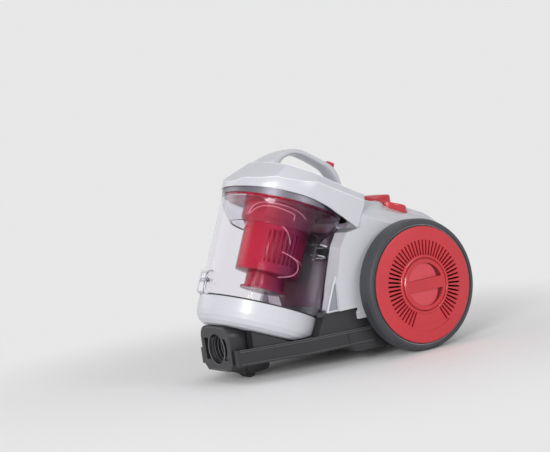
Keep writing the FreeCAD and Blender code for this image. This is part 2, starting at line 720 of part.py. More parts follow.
def rounded(width, height, radius, y, z):
    """An upright rounded rectangle of four lines and four arcs, centred on X = 0."""
    a = width / 2
    b = height / 2
    c = radius * (1 - math.sqrt(0.5))
    corners = []
    for sx, sz in ((1, 1), (-1, 1), (-1, -1), (1, -1)):
        corners.append((sx, sz))
    edges = []
    ends = []
    for sx, sz in corners:
        first = V(sx * a, y, z + sz * (b - radius))
        middle = V(sx * (a - c), y, z + sz * (b - c))
        second = V(sx * (a - radius), y, z + sz * b)
        ends.append((first, middle, second) if sx * sz > 0 else (second, middle, first))
    for index, (first, middle, second) in enumerate(ends):
        edges.append(Part.Arc(first, middle, second).toShape())
        following = ends[(index + 1) % 4][0]
        edges.append(Part.LineSegment(second, following).toShape())
    return Part.Wire(edges)


def duct_form(inset):
    """The air duct: round behind the port, flat under the bin, then up behind it."""
    z_port = number("port_z")
    radius = number("port_bore + 0.6 + duct_wall") - inset
    half = number("duct_half") - inset
    height = number("duct_height") - 2 * inset
    low = number("floor_gap + chassis_wall")
    middle = low + number("duct_height") / 2
    hump = number("floor_gap + swivel_boss + play") + 2.6 + 8.5
    run = -94
    end = 22
    start = number("port_back") - (1.5 if inset > 0 else 0)
    stations = [
        rounded(2 * radius, 2 * radius, radius - 0.3, start, z_port),
        rounded(2 * half, 23 - 2 * inset, 5 - inset, -131, hump + 3),
        rounded(2 * half, 17 - 2 * inset, 5 - inset, -113.5, hump),
        rounded(2 * half, height, 5 - inset, run, middle),
    ]
    funnel = Part.makeLoft(stations, True, True)
    flat = Part.makeBox(2 * half, end - run - inset, height, V(-half, run, low + inset))
    seat = number("bin_radius + bin_gap + body_wall") + 0.3
    depth = 20
    leg_start = V(-half, seat + inset, number("inlet_high") + 4 - inset - 200)
    leg = Part.makeBox(2 * half, depth - 2 * inset, 200, leg_start)
    leg = placed(leg, bin_frame())
    leg = leg.common(Part.makeBox(300, 300, 300, V(-150, -150, low + inset)))
    return funnel.fuse(flat).fuse(leg)


def inlet_duct():
    wall = number("duct_wall")
    inside = duct_form(wall)
    half = number("inlet_width") / 2
    low = number("inlet_low")
    high = number("inlet_high")
    seat = number("bin_radius + bin_gap + body_wall")
    mouth = placed(Part.makeBox(2 * half, 6, high - low, V(-half, seat - 1, low)), bin_frame())
    return duct_form(0).cut(inside).cut(mouth).removeSplitter()


feature("body_shell", body_shell())
feature("chassis_base", chassis_base())
feature("chassis_deck", chassis_deck())
feature("inlet_duct", inlet_duct())


def hose_port():
    """The front block, round shouldered and chamfered below, with the bore that takes the hose end."""
    half = number("port_half")
    z = number("port_z")
    front = number("port_front")
    back = number("port_back")
    height = number("port_below + port_above")
    block_form = block(0, front, z - number("port_below"), 2 * half, back - front, height)
    along = [edge for edge in block_form.Edges if edge.BoundBox.YLength > 1]
    shoulders = [edge for edge in along if edge.BoundBox.ZMin > z]
    block_form = block_form.makeFillet(number("port_shoulder"), shoulders)
    along = [edge for edge in block_form.Edges if edge.BoundBox.YLength > 1]
    corners = [edge for edge in along if edge.BoundBox.ZMax < z - 20]
    block_form = block_form.makeChamfer(number("port_corner"), corners)
    mouth = Part.makeCylinder(number("port_mouth"), number("port_mouth_depth"), V(0, front, z), V(0, 1, 0))
    bore = Part.makeCylinder(number("port_bore"), back - front, V(0, front, z), V(0, 1, 0))
    ear = number("port_ear_height")
    ears = block(0, front, z - ear, 2 * number("port_ear_half"), number("port_mouth_depth"), 2 * ear)
    return block_form.cut(mouth).cut(bore).cut(ears).cut(bin_envelope(1.2))


feature("hose_port", hose_port())


# ---------------------------------------------------------------- caster

def bowl(radius, rim, top, floor):
    """A cup from floor up to top, whose rim is rounded in four steps."""
    points = [V(0, 0, top), V(radius, 0, top)]
    for step in range(5):
        turn = math.radians(90 - 22.5 * step)
        points.append(V(radius - rim + rim * math.sin(turn), 0, floor + rim - rim * math.cos(turn)))
    points.append(V(0, 0, floor))
    face = Part.Face(Part.makePolygon(points + points[:1]))
    return face.revolve(V(0, 0, 0), V(0, 0, 1), 360)


def caster_fork():
    """A dome that swivels under the nose and holds the roller's axle."""
    y = number("caster_y")
    top = number("floor_gap - play")
    low = 5
    dome = bowl(number("caster_dish"), 9, top, low)
    dome = placed(dome, FreeCAD.Placement(V(0, y, 0), TURN()))
    pin = Part.makeCylinder(number("swivel_pin"), number("swivel_boss") + 3, V(0, y, top - 1))
    clip_start = V(0, y, number("floor_gap + swivel_boss + play"))
    clip = Part.makeCylinder(number("swivel_pin") + 2.5, 1.8, clip_start)
    axle_y = y - number("caster_trail")
    gap = number("roller_radius") + 1.2
    slot_start = V(-number("roller_half") - 0.6, axle_y, number("roller_radius"))
    slot = Part.makeCylinder(gap, 2 * number("roller_half") + 1.2, slot_start, V(1, 0, 0))
    form = dome.cut(slot).fuse(pin).fuse(clip)
    hole = Part.makeCylinder(number("axle_pin"), 80, V(-40, axle_y, number("roller_radius")), V(1, 0, 0))
    return form.cut(hole).removeSplitter()


feature("caster_fork", caster_fork())

roller = turned("caster_roller", (
    ("axle_pin + 0.05", "-roller_half"), ("roller_radius - 1.5", "-roller_half"),
    ("roller_radius", "1.5 - roller_half"), ("roller_radius", "roller_half - 1.5"),
    ("roller_radius - 1.5", "roller_half"), ("axle_pin + 0.05", "roller_half")))
move(roller, "0", "caster_y - caster_trail", "roller_radius", TURN(V(0, 1, 0), 90))

axle = primitive("caster_axle", "Cylinder", Radius="axle_pin", Height="2 * roller_half + 8")
move(axle, "-roller_half - 4", "caster_y - caster_trail", "roller_radius", TURN(V(0, 1, 0), 90))
nodes["caster_axle"] = axle


# ---------------------------------------------------------------- clear bin

def bin_tank():
    """The clear bin: a tube with an inlet in its back and a latch housing in front."""
    radius = number("bin_radius")
    wall = number("bin_wall")
    length = number("bin_length")
    tube = Part.makeCylinder(radius, length)
    reach = number("latch_reach")
    half = number("latch_half") + 6
    housing = Part.makeBox(2 * half, reach + 12, 30, V(-half, -radius - reach, 0))
    front = [edge for edge in housing.Edges
             if abs(edge.BoundBox.YMax + radius + reach) < 1e-6 and edge.BoundBox.ZLength > 20]
    housing = housing.makeFillet(4, front)
    opening = Part.makeBox(2 * number("latch_half + play"), reach + 20, 40,
                           V(-number("latch_half + play"), -radius - reach - 5, -5))
    walls = housing.cut(opening).cut(Part.makeCylinder(radius - 1, length + 20, V(0, 0, -10)))
    form = tube.cut(Part.makeCylinder(radius - wall, length + 20, V(0, 0, -10))).fuse(walls)
    inlet_half = number("inlet_width") / 2
    low = number("inlet_low")
    high = number("inlet_high")
    mouth = Part.makeBox(2 * inlet_half - 4, 30, high - low - 4, V(2 - inlet_half, radius - 15, low + 2))
    pin_y = number("flap_pin_y")
    drop = number("flap_pin_drop")
    lug = Part.makeBox(24, 8, drop + 4, V(-12, pin_y - 4, -drop - 4))
    lug = lug.fuse(Part.makeBox(24, 8, 4, V(-12, pin_y - 4, 0)))
    lug = lug.common(Part.makeCylinder(radius, 100, V(0, 0, -50)))
    hole = Part.makeCylinder(number("flap_pin_radius"), 60, V(-30, pin_y, -drop), V(1, 0, 0))
    latch_hole = Part.makeCylinder(2, 80, V(-40, -radius - number("latch_reach - 3"), 16), V(1, 0, 0))
    return form.cut(mouth).fuse(lug).cut(hole).cut(latch_hole).removeSplitter()


feature("bin_tank", bin_tank(), bin_frame())

guide = primitive("inlet_guide_outer", "Box", Length="inlet_width - 4.6", Width="18",
                  Height="inlet_high - inlet_low - 4.6")
hollow = primitive("inlet_guide_inner", "Box", Length="inlet_width - 8.6", Width="24",
                   Height="inlet_high - inlet_low - 8.6")
in_bin(guide, "2.3 - inlet_width / 2", "bin_radius - 20.5", "inlet_low + 2.3")
in_bin(hollow, "4.3 - inlet_width / 2", "bin_radius - 22", "inlet_low + 4.3")
less("inlet_guide", guide, [hollow])

seal = turned("flap_seal_ring", (
    ("bin_radius - 3.5", "-seal_height"), ("bin_radius", "-seal_height"),
    ("bin_radius", "0"), ("bin_radius - 3.5", "0")))
in_bin(seal)
del nodes["flap_seal_ring"]
gap = primitive("flap_seal_gap", "Box", Length="25", Width="14", Height="4")
in_bin(gap, "-12.5", "flap_pin_y - 4.5", "-3")
less("flap_seal", seal, [gap])


def flap():
    """The white bottom bowl that swings open to empty the bin."""
    radius = number("bin_radius")
    depth = number("flap_depth")
    wall = number("flap_wall")
    top = -number("seal_height + play")
    outer = bowl(radius, number("flap_round"), top, -depth)
    inner = bowl(radius - wall, number("flap_round") - wall, top + 1, wall - depth)
    frame = bin_frame()
    back = frame.inverse()
    floor = number("flap_floor_z")
    level = placed(Part.makeBox(600, 600, 300, V(-300, -300, floor)), back)
    inner_level = placed(Part.makeBox(600, 600, 300, V(-300, -300, floor + wall)), back)
    form = outer.common(level).cut(inner.common(inner_level))
    pin_y = number("flap_pin_y")
    drop = number("flap_pin_drop")
    behind = Part.makeBox(90, 30, 40, V(-45, pin_y - 1, top - drop - 3))
    form = form.cut(behind)
    lug_gap = Part.makeBox(24.8, 30, 60, V(-12.4, pin_y - 5, top - drop - 4))
    knuckles = []
    for x in (-20, 12.5):
        barrel = Part.makeCylinder(3.4, 7.5, V(x, pin_y, -drop), V(1, 0, 0))
        strap = Part.makeBox(7.5, 8, 9, V(x, pin_y - 8, -drop - 6))
        knuckles.append(barrel.fuse(strap))
    form = form.cut(lug_gap)
    for knuckle in knuckles:
        form = form.fuse(knuckle.common(Part.makeCylinder(radius, 100, V(0, 0, -50))))
    hole = Part.makeCylinder(number("flap_pin_radius") + 0.06, 60, V(-30, pin_y, -drop), V(1, 0, 0))
    form = form.cut(hole)
    return max(form.removeSplitter().Solids, key=lambda solid: solid.Volume)


feature("bottom_flap", flap(), bin_frame())

pin = primitive("flap_hinge_pin", "Cylinder", Radius="flap_pin_radius", Height="40")
pin_start = V(-20, number("flap_pin_y"), -number("flap_pin_drop"))
pin.Placement = bin_frame() * FreeCAD.Placement(pin_start, TURN(V(0, 1, 0), 90))
nodes["flap_hinge_pin"] = pin


def latch():
    """The lever that holds the flap shut, pivoted between the housing's cheeks."""
    radius = number("bin_radius")
    half = number("latch_half")
    front = -radius - number("latch_reach + 2.5")
    pivot = V(-half, -radius - number("latch_reach - 3"), 16)
    plate = Part.makeBox(2 * half, 4, 29, V(-half, front, -3.2))
    barrel = Part.makeCylinder(3.5, 2 * half, pivot, V(1, 0, 0))
    hook = Part.makeBox(2 * half - 6, 10, 3, V(3 - half, front, -3.2))
    form = plate.fuse(barrel).fuse(hook)
    return form.cut(Part.makeCylinder(2.06, 80, pivot - V(20, 0, 0), V(1, 0, 0))).removeSplitter()


feature("flap_latch", latch(), bin_frame())
latch_axle = V(-number("latch_half + 6"), -number("bin_radius + latch_reach - 3"), 16)
latch_pin = Part.makeCylinder(2, number("2 * latch_half + 12"), latch_axle, V(1, 0, 0))
feature("latch_pin", latch_pin, bin_frame())


# ---------------------------------------------------------------- cyclone core

def louvred_core():
    body = turned("cyclone_shroud", (
        ("core_radius - core_wall", "core_low"), ("core_radius", "core_low"),
        ("core_radius", "core_high"), ("core_radius - core_wall", "core_high")))
    sketch = outline(body, "XZ_Plane", (
        ("-louvre_width / 2", "core_low + 10"), ("louvre_width / 2", "core_low + 10"),
        ("louvre_width / 2", "core_high - 8"), ("-louvre_width / 2", "core_high - 8")),
        "core_radius - 10")
    cut = pocket(body, sketch, "20")
    cut.Reversed = True
    polar(body, cut, "louvre_count", "louvre_pitch * (louvre_count - 1)")
    plain = 360 - number("louvre_pitch * (louvre_count - 1)")
    in_bin(body, twist=plain / 2)


louvred_core()

crown = turned("cyclone_crown", (
    ("core_radius - core_wall - 4", "core_high"), ("core_radius + 2", "core_high"),
    ("crown_radius", "core_high + 8"), ("crown_radius", "bin_length - 2"),
    ("bin_radius - bin_wall - 0.4", "bin_length - 2"), ("bin_radius - bin_wall - 0.4", "bin_length"),
    ("core_radius - core_wall - 4", "bin_length")))
in_bin(crown)

neck = turned("cyclone_neck", (
    ("0", "neck_low"), ("neck_radius + 5", "neck_low"), ("neck_radius + 5", "neck_low + 3"),
    ("neck_radius", "neck_low + 3"), ("neck_radius", "core_low - 6"), ("core_radius", "core_low - 3"),
    ("core_radius", "core_low"), ("neck_radius - core_wall", "core_low"),
    ("neck_radius - core_wall", "neck_low + 3"), ("0", "neck_low + 3")))
in_bin(neck)

pre_filter = turned("pre_motor_filter", (
    ("0", "bin_length"), ("62", "bin_length"), ("62", "bin_length + 16"), ("0", "bin_length + 16")))
in_bin(pre_filter)


# ---------------------------------------------------------------- lid and handle

def lid_plateau(y):
    """Height of the lid's flat top along the bin."""
    return number("lid_top") - number("lid_fall") * y


def mirrored(points):
    """Right-hand points followed by their mirror images, front last."""
    return [(x, y) for x, y in points], [(-x, y) for x, y in reversed(points)]


def lid_ring(points, rear, height, bulges=()):
    """A closed wire: right side from front to rear, rear arc, then the left side."""
    right, left = mirrored(points)
    edges = []
    for side in (right, left):
        spots = [V(x, y, height(y)) for x, y in side]
        for index in range(len(spots) - 1):
            first = spots[index]
            second = spots[index + 1]
            step = index if side is right else len(spots) - 2 - index
            if step < len(bulges):
                middle = (first + second) * 0.5
                reach = bulges[step] / math.hypot(middle.x, middle.y)
                bulge = V(middle.x * reach, middle.y * reach, middle.z)
                edges.append(Part.Arc(first, bulge, second).toShape())
            else:
                edges.append(Part.LineSegment(first, second).toShape())
        if side is right:
            end = V(*left[0], height(left[0][1]))
            edges.append(Part.Arc(spots[-1], V(0, rear, height(rear)), end).toShape())
    front = V(*right[0], height(right[0][1]))
    edges.append(Part.LineSegment(V(*left[-1], height(left[-1][1])), front).toShape())
    return Part.Wire(edges)


def drawn_in(points, inset):
    """Points moved towards the middle by inset."""
    moved = []
    for x, y in points:
        reach = 1 - inset / math.hypot(x, y)
        moved.append((x * reach, y * reach))
    return moved


def lid_form(inset, drop):
    """The lid's outer form, drawn in by inset, its lower edge lowered by drop."""
    rear = number("lid_back") - inset
    foot = lid_ring(drawn_in(LID_FOOT, inset), rear + 4, lambda y: LID_FOOT_HEIGHT,
                    [bulge - inset for bulge in LID_FOOT_BULGE])
    flat = lid_ring(drawn_in(LID_FLAT, inset), rear, lambda y: lid_plateau(y) - inset)
    facets = Part.makeLoft([foot, flat], True, True)
    below = Part.makeBox(300, 300, 100, V(-150, -150, LID_FOOT_HEIGHT - 100))
    return lid_column(-inset, drop).common(facets.fuse(below))


def bin_lid():
    wall = number("lid_wall")
    shell = lid_form(0, 0).cut(lid_form(wall, 20))
    outlet = Part.makeBox(60, 16, 16, V(-30, number("lid_back") - 10, 146))
    return shell.cut(outlet).removeSplitter()


feature("bin_lid", bin_lid(), bin_frame())

trim = turned("lid_trim_ring", (
    ("bin_radius - bin_wall", "bin_length"), ("lid_radius - lid_wall - 0.2", "bin_length"),
    ("lid_radius - lid_wall - 0.2", "bin_length + trim_height + 4"),
    ("bin_radius - bin_wall", "bin_length + trim_height + 4")))
in_bin(trim)

BUTTON_Y = 55
BUTTON_LENGTH = 12
BUTTON_FOOT = 221.5
BUTTON_TOP = 229.4
SPRING_SEAT = 218.3


def button_space(gap, low, high):
    half = number("button_half") + gap
    return Part.makeBox(2 * half, BUTTON_LENGTH + 2 * gap, high - low, V(-half, BUTTON_Y - gap, low))


def carry_handle():
    """The arched handle that stands on the lid's flat top and widens at its front root."""
    root = number("handle_root")
    half = number("handle_half")
    form = prism_x(HANDLE_SIDE, -root, root)
    right = ((root, -70), (root, -58), (half + 5, -36), (half, -12), (half, 66), (half + 3, 100))
    plan = [(x, y) for x, y in right] + [(-x, y) for x, y in reversed(right)]
    form = form.common(prism_z(tuple(plan), 100, 260))
    return form.cut(lid_form(0, 20)).cut(button_space(0.35, SPRING_SEAT, 260)).removeSplitter()


feature("carry_handle", carry_handle(), bin_frame())
button = button_space(0, BUTTON_FOOT, BUTTON_TOP)
button = button.makeFillet(2, [edge for edge in button.Edges if edge.BoundBox.ZMin > BUTTON_TOP - 0.1])
spring_place = V(0, BUTTON_Y + BUTTON_LENGTH / 2, BUTTON_FOOT)
hollow = Part.makeCylinder(5, BUTTON_FOOT - SPRING_SEAT + 0.3, spring_place)
button = button.cut(hollow)
feature("release_button", button, bin_frame())


# ---------------------------------------------------------------- motor and cord reel

def on_motor(body, x):
    """Places an object on the motor's axis with its Z along X."""
    return move(body, x, "motor_y", "motor_z", TURN(V(0, 1, 0), 90))


can = turned("motor_can", (
    ("shaft_radius + 5", "0"), ("motor_radius - 12", "0"), ("motor_radius", "12"),
    ("motor_radius", "motor_length"), ("shaft_radius + 5", "motor_length"),
    ("shaft_radius + 5", "motor_length - 8"), ("motor_radius - 3", "motor_length - 8"),
    ("motor_radius - 3", "14"), ("shaft_radius + 5", "8")))
on_motor(can, "-motor_length")

cover = turned("fan_cover", (
    ("shaft_radius + 6", "0"), ("fan_radius", "0"), ("fan_radius", "fan_width - 6"),
    ("fan_radius - 6", "fan_width"), ("18", "fan_width"), ("18", "fan_width - 2"),
    ("fan_radius - 8", "fan_width - 2"), ("fan_radius - 2", "fan_width - 8"),
    ("fan_radius - 2", "2"), ("shaft_radius + 6", "2")))
on_motor(cover, "0")

shaft = primitive("motor_shaft", "Cylinder", Radius="shaft_radius", Height="motor_length + fan_width - 8")
on_motor(shaft, "-motor_length + 2")
nodes["motor_shaft"] = shaft

for label, place in (("motor_bearing_rear", "-motor_length"), ("motor_bearing_front", "-8")):
    ring = turned(label, (
        ("shaft_radius + 0.05", "0"), ("shaft_radius + 5", "0"),
        ("shaft_radius + 5", "8"), ("shaft_radius + 0.05", "8")))
    on_motor(ring, place)

impeller = turned("fan_impeller", (
    ("shaft_radius", "4"), ("fan_radius - 6", "4"), ("fan_radius - 6", "5.5"), ("20", "7"),
    ("14", "fan_width - 8"), ("shaft_radius", "fan_width - 8")))
on_motor(impeller, "0")


def motor_cradle():
    """Two ribs from the chassis floor that carry the motor in its soft mount."""
    base = number("rear_floor + chassis_wall")
    y = number("motor_y")
    z = number("motor_z")
    ribs = []
    for x in (-number("motor_length") + 20, -20):
        rib = Part.makeBox(4, 84, z - base - 10, V(x, y - 42, base))
        ribs.append(rib)
    foot = Part.makeBox(number("motor_length") - 36, 84, 4, V(-number("motor_length") + 20, y - 42, base))
    form = ribs[0].fuse(ribs[1]).fuse(foot)
    bed = Part.makeCylinder(number("motor_radius") + 3, 200, V(-150, y, z), V(1, 0, 0))
    return form.cut(bed).removeSplitter()


feature("motor_cradle", motor_cradle())
for label, x in (("motor_mount_rear", -number("motor_length") + 19), ("motor_mount_front", -21)):
    ring_start = V(x, number("motor_y"), number("motor_z"))
    ring = Part.makeCylinder(number("motor_radius") + 3, 6, ring_start, V(1, 0, 0))
    ring = ring.cut(Part.makeCylinder(number("motor_radius"), 6, ring_start, V(1, 0, 0)))
    feature(label, ring)

reel = turned("cord_reel", (
    ("spindle_radius + 0.05", "reel_inner"), ("reel_radius", "reel_inner"),
    ("reel_radius", "reel_inner + 2.5"),
    ("reel_hub", "reel_inner + 2.5"), ("reel_hub", "reel_outer - 2.5"), ("reel_radius", "reel_outer - 2.5"),
    ("reel_radius", "reel_outer"), ("spindle_radius + 0.05", "reel_outer")))
on_motor(reel, "0")


def reel_frame():
    """A plate from the chassis floor with the spindle of the cord reel."""
    base = number("rear_floor + chassis_wall")
    y = number("motor_y")
    z = number("motor_z")
    x = number("reel_inner") - 5
    plate = Part.makeBox(4, 60, number("bracket_top - bracket_wall") - base, V(x, y - 30, base))
    foot = Part.makeBox(30, 60, 3.5, V(x, y - 30, base))
    reach = number("reel_outer") - x + 2
    spindle = Part.makeCylinder(number("spindle_radius"), reach, V(x, y, z), V(1, 0, 0))
    return plate.fuse(foot).fuse(spindle).removeSplitter()


feature("reel_frame", reel_frame())

bracket = primitive("pedal_bracket", "Box", Length="84", Width="44", Height="bracket_wall")
move(bracket, "-12", "92", "bracket_top - bracket_wall")
nodes["pedal_bracket"] = bracket


def coil(radius, wire, height, turns):
    """A compression spring of square wire that stands on Z = 0."""
    rise = height - 2 * wire
    path = Part.makeHelix(rise / turns, rise, radius)
    path.translate(V(0, 0, wire))
    section = Part.makePolygon([V(radius + x * wire, 0, wire + z * wire)
                                for x, z in ((-1, -1), (1, -1), (1, 1), (-1, 1), (-1, -1))])
    return Part.Wire(path.Edges).makePipeShell([section], True, True)


rest = number("bracket_top")
pedal_spring = coil(5, 0.6, number("pedal_base - bracket_top"), 4)
for label, x, y in (("power_spring", 8, 112), ("rewind_spring", 52, 118)):
    feature(label, pedal_spring.copy(), FreeCAD.Placement(V(x, y, rest), TURN()))
button_place = FreeCAD.Placement(V(0, BUTTON_Y + BUTTON_LENGTH / 2, SPRING_SEAT), TURN())
button_spring = coil(4, 0.3, BUTTON_FOOT - SPRING_SEAT, 2)
feature("release_spring", button_spring, bin_frame() * button_place)

switch = primitive("power_switch", "Box", Length="12", Width="8",
                   Height="pedal_base - bracket_top - pedal_travel - 1")
move(switch, "2", "124", "bracket_top")
nodes["power_switch"] = switch

board = primitive("circuit_board", "Box", Length="34", Width="1.6", Height="50")
move(board, "-34", "160", "90")
nodes["circuit_board"] = board


# ---------------------------------------------------------------- check and write

doc.recompute()
faults = []
for thing in doc.Objects:
    if "Invalid" in thing.State or "Error" in thing.State:
        faults.append("%s is %s" % (thing.Label, thing.State))
for label, thing in nodes.items():
    if thing.Shape.isNull() or not thing.Shape.isValid():
        faults.append("%s has no valid shape" % label)
    elif not thing.Shape.Solids:
        faults.append("%s has no solid" % label)
if faults:
    raise RuntimeError("; ".join(faults))

os.makedirs("parts", exist_ok=True)
for label, thing in nodes.items():
    thing.Shape.exportStep(os.path.join("parts", label + ".step"))
print("wrote", len(nodes), "nodes")
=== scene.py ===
# %% [markdown]
# # A canister vacuum cleaner with a clear bin
# The imported model brings every rigid piece at its real size and place. This lesson gives each
# piece its finish, and adds the moulded details that a solid modeller leaves plain. The first
# cell loads the model.

# %% Load the imported model
import json
import math

import bmesh
import bpy
import numpy as np
from mathutils import Matrix, Vector
from mathutils.bvhtree import BVHTree


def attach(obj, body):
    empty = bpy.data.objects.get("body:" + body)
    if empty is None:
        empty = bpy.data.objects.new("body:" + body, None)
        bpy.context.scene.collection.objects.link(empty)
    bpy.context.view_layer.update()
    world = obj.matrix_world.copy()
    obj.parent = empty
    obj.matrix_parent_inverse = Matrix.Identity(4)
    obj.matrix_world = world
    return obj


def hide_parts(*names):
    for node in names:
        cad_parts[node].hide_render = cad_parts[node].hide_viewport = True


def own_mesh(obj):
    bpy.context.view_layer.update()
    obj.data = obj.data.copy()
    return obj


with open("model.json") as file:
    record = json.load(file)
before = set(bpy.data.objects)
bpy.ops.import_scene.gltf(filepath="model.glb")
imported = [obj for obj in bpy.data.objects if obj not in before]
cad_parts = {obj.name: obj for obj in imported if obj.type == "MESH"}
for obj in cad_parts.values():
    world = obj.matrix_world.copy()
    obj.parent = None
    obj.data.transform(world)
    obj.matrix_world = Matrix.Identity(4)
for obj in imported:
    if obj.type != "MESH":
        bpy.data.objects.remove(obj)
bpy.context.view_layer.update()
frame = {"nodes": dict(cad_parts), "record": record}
nodes = frame["nodes"]

# %% [markdown]
# ## Camera
# The machine is seen from its front right corner, a little above the floor line. A long lens a
# few steps away keeps the wheels round. The camera leans by a few degrees about its own view
# line, which makes the machine climb to the right. Position, angles and lens are plain numbers.

# %% Camera
AZIMUTH, ELEVATION, LEAN = 59.0, 3.0, -8.2
SENSOR, LENS_RATIO = 36, 2.2823
STAND = Vector((1.5156, -0.9628, 0.2924))
MIDDLE = Vector((0, 0, 0.15))


def aim(azimuth, elevation, lean):
    """Rotation whose view line points down by elevation, with the frame turned by lean about it."""
    a, e = math.radians(azimuth), math.radians(elevation)
    line = Vector((-math.sin(a) * math.cos(e), math.cos(a) * math.cos(e), -math.sin(e)))
    turn = Matrix.Rotation(math.radians(lean), 3, "Z").to_quaternion()
    return line.to_track_quat("-Z", "Y") @ turn


camera = bpy.data.objects.new("camera", bpy.data.cameras.new("camera"))
bpy.context.scene.collection.objects.link(camera)
camera.rotation_mode = "QUATERNION"
camera.rotation_quaternion = aim(AZIMUTH, ELEVATION, LEAN)
camera.location = STAND
camera.data.sensor_width = SENSOR
camera.data.lens = SENSOR * LENS_RATIO
camera.data.clip_end = 60
bpy.context.scene.camera = camera
print("camera stands", round((STAND - MIDDLE).length, 2), "m away")

# %% [markdown]
# ## Floor
# A wide pale disc is the floor. It is a grid of circles round the machine, closely spaced near it
# and wide apart further out, and it has no edge that a camera could see. Two helpers that the
# whole lesson uses come first: one makes an object from points and faces, and one lists the
# faces of a grid of points.

# %% Floor


def mesh_object(name, points, faces, smooth=True):
    """A mesh object from an (n, 3) array of points and a list or array of faces."""
    mesh = bpy.data.meshes.new(name)
    mesh.from_pydata(np.asarray(points, float).tolist(), [], [list(map(int, f)) for f in faces])
    mesh.polygons.foreach_set("use_smooth", np.full(len(mesh.polygons), smooth))
    mesh.update()
    item = bpy.data.objects.new(name, mesh)
    bpy.context.scene.collection.objects.link(item)
    return item


def grid_faces(rows, columns, wrap_rows=False, wrap_columns=False):
    """Quads between the neighbours of a rows by columns grid, closed round where asked."""
    i = np.arange(rows if wrap_rows else rows - 1)[:, None]
    j = np.arange(columns if wrap_columns else columns - 1)[None, :]
    a, b = i * columns + j, i * columns + (j + 1) % columns
    c, d = ((i + 1) % rows) * columns + (j + 1) % columns, ((i + 1) % rows) * columns + j
    return np.stack([a, b, c, d], -1).reshape(-1, 4)


def round_floor(radius=30.0, rings=24, spokes=96):
    """Circles of radius * (k / rings) squared in the plane z = 0, with one point in the middle."""
    r = radius * (np.arange(1, rings + 1) / rings) ** 2
    a = np.linspace(0, 2 * np.pi, spokes, endpoint=False)
    rows = np.stack([r[:, None] * np.cos(a), r[:, None] * np.sin(a), 0 * r[:, None] * a], -1)
    points = np.concatenate([rows.reshape(-1, 3), [[0, 0, 0]]])
    j = np.arange(spokes)
    fan = np.stack([j, (j + 1) % spokes, np.full(spokes, len(points) - 1)], -1)
    bands = grid_faces(rings, spokes, False, True)[:, ::-1]
    return mesh_object("floor", points, bands.tolist() + fan.tolist())


floor = round_floor()
print("floor faces", len(floor.data.polygons))

# %% [markdown]
# ## Light
# Four large soft lamps stand in for a studio: one in front, one on the right, a weak one on the
# left and a long strip above that draws the highlights on the clear bin. The lamps are low, so
# that upright faces are a little brighter than the flat tops.

# %% Studio lamps


def lamp(name, place, target, size, power):
    """A soft rectangular lamp at place that faces target: power in watts, the rest in metres."""
    data = bpy.data.lights.new(name, "AREA")
    data.shape, data.size, data.size_y = "RECTANGLE", size[0], size[1]
    data.energy = power
    item = bpy.data.objects.new(name, data)
    item.location = place
    item.rotation_mode = "QUATERNION"
    item.rotation_quaternion = (Vector(target) - Vector(place)).to_track_quat("-Z", "Y")
    bpy.context.scene.collection.objects.link(item)


lamp("key_lamp", (1.5, -1.9, 0.75), (0, 0, 0.15), (0.8, 0.8), 36)
lamp("side_lamp", (2.3, 0.7, 1.0), (0, 0, 0.15), (0.8, 1.0), 14)
lamp("fill_lamp", (-1.9, -1.3, 1.0), (0, 0, 0.12), (1.4, 1.4), 7)
lamp("top_strip", (0.0, 0.1, 1.9), (0, 0, 0.2), (0.5, 2.0), 5)

# %% [markdown]
# ### Sky
# The world is the sky of the studio. Light Path tells which rays look at it: those that come
# from the camera, a glossy face or a clear one see an even pale tone, and all others gather the
# weaker light that fills the shadows.

# %% World
PALE = (0.80, 0.80, 0.805, 1)
world = bpy.data.worlds.new("studio")
bpy.context.scene.world = world
world.use_nodes = True
tree = world.node_tree
sky = tree.nodes["Background"]
sky.inputs["Color"].default_value = (1, 1, 1, 1)
sky.inputs["Strength"].default_value = 0.36


def looking_rays(tree):
    """1 for camera, glossy and transmission rays, 0 for the rest."""
    path = tree.nodes.new("ShaderNodeLightPath")
    total = path.outputs["Is Camera Ray"]
    for word in ("Is Glossy Ray", "Is Transmission Ray"):
        larger = tree.nodes.new("ShaderNodeMath")
        larger.operation = "MAXIMUM"
        tree.links.new(total, larger.inputs[0])
        tree.links.new(path.outputs[word], larger.inputs[1])
        total = larger.outputs[0]
    return total


seen = tree.nodes.new("ShaderNodeBackground")
seen.inputs["Color"].default_value = PALE
choice = tree.nodes.new("ShaderNodeMixShader")
tree.links.new(looking_rays(tree), choice.inputs[0])
tree.links.new(sky.outputs[0], choice.inputs[1])
tree.links.new(seen.outputs[0], choice.inputs[2])
tree.links.new(choice.outputs[0], tree.nodes["World Output"].inputs["Surface"])
bpy.context.scene.view_settings.view_transform = "Standard"
print("world ready")

# %% [markdown]
# ## Finishes
# Every moulding is a plastic, so most finishes are one Principled shader with three layers over
# it: a slow drift of tone, a fine grain that is pressed in by the mould, and a change of
# roughness where hands and dust have been. All read Object coordinates, which are metres here.

# %% A helper for node trees


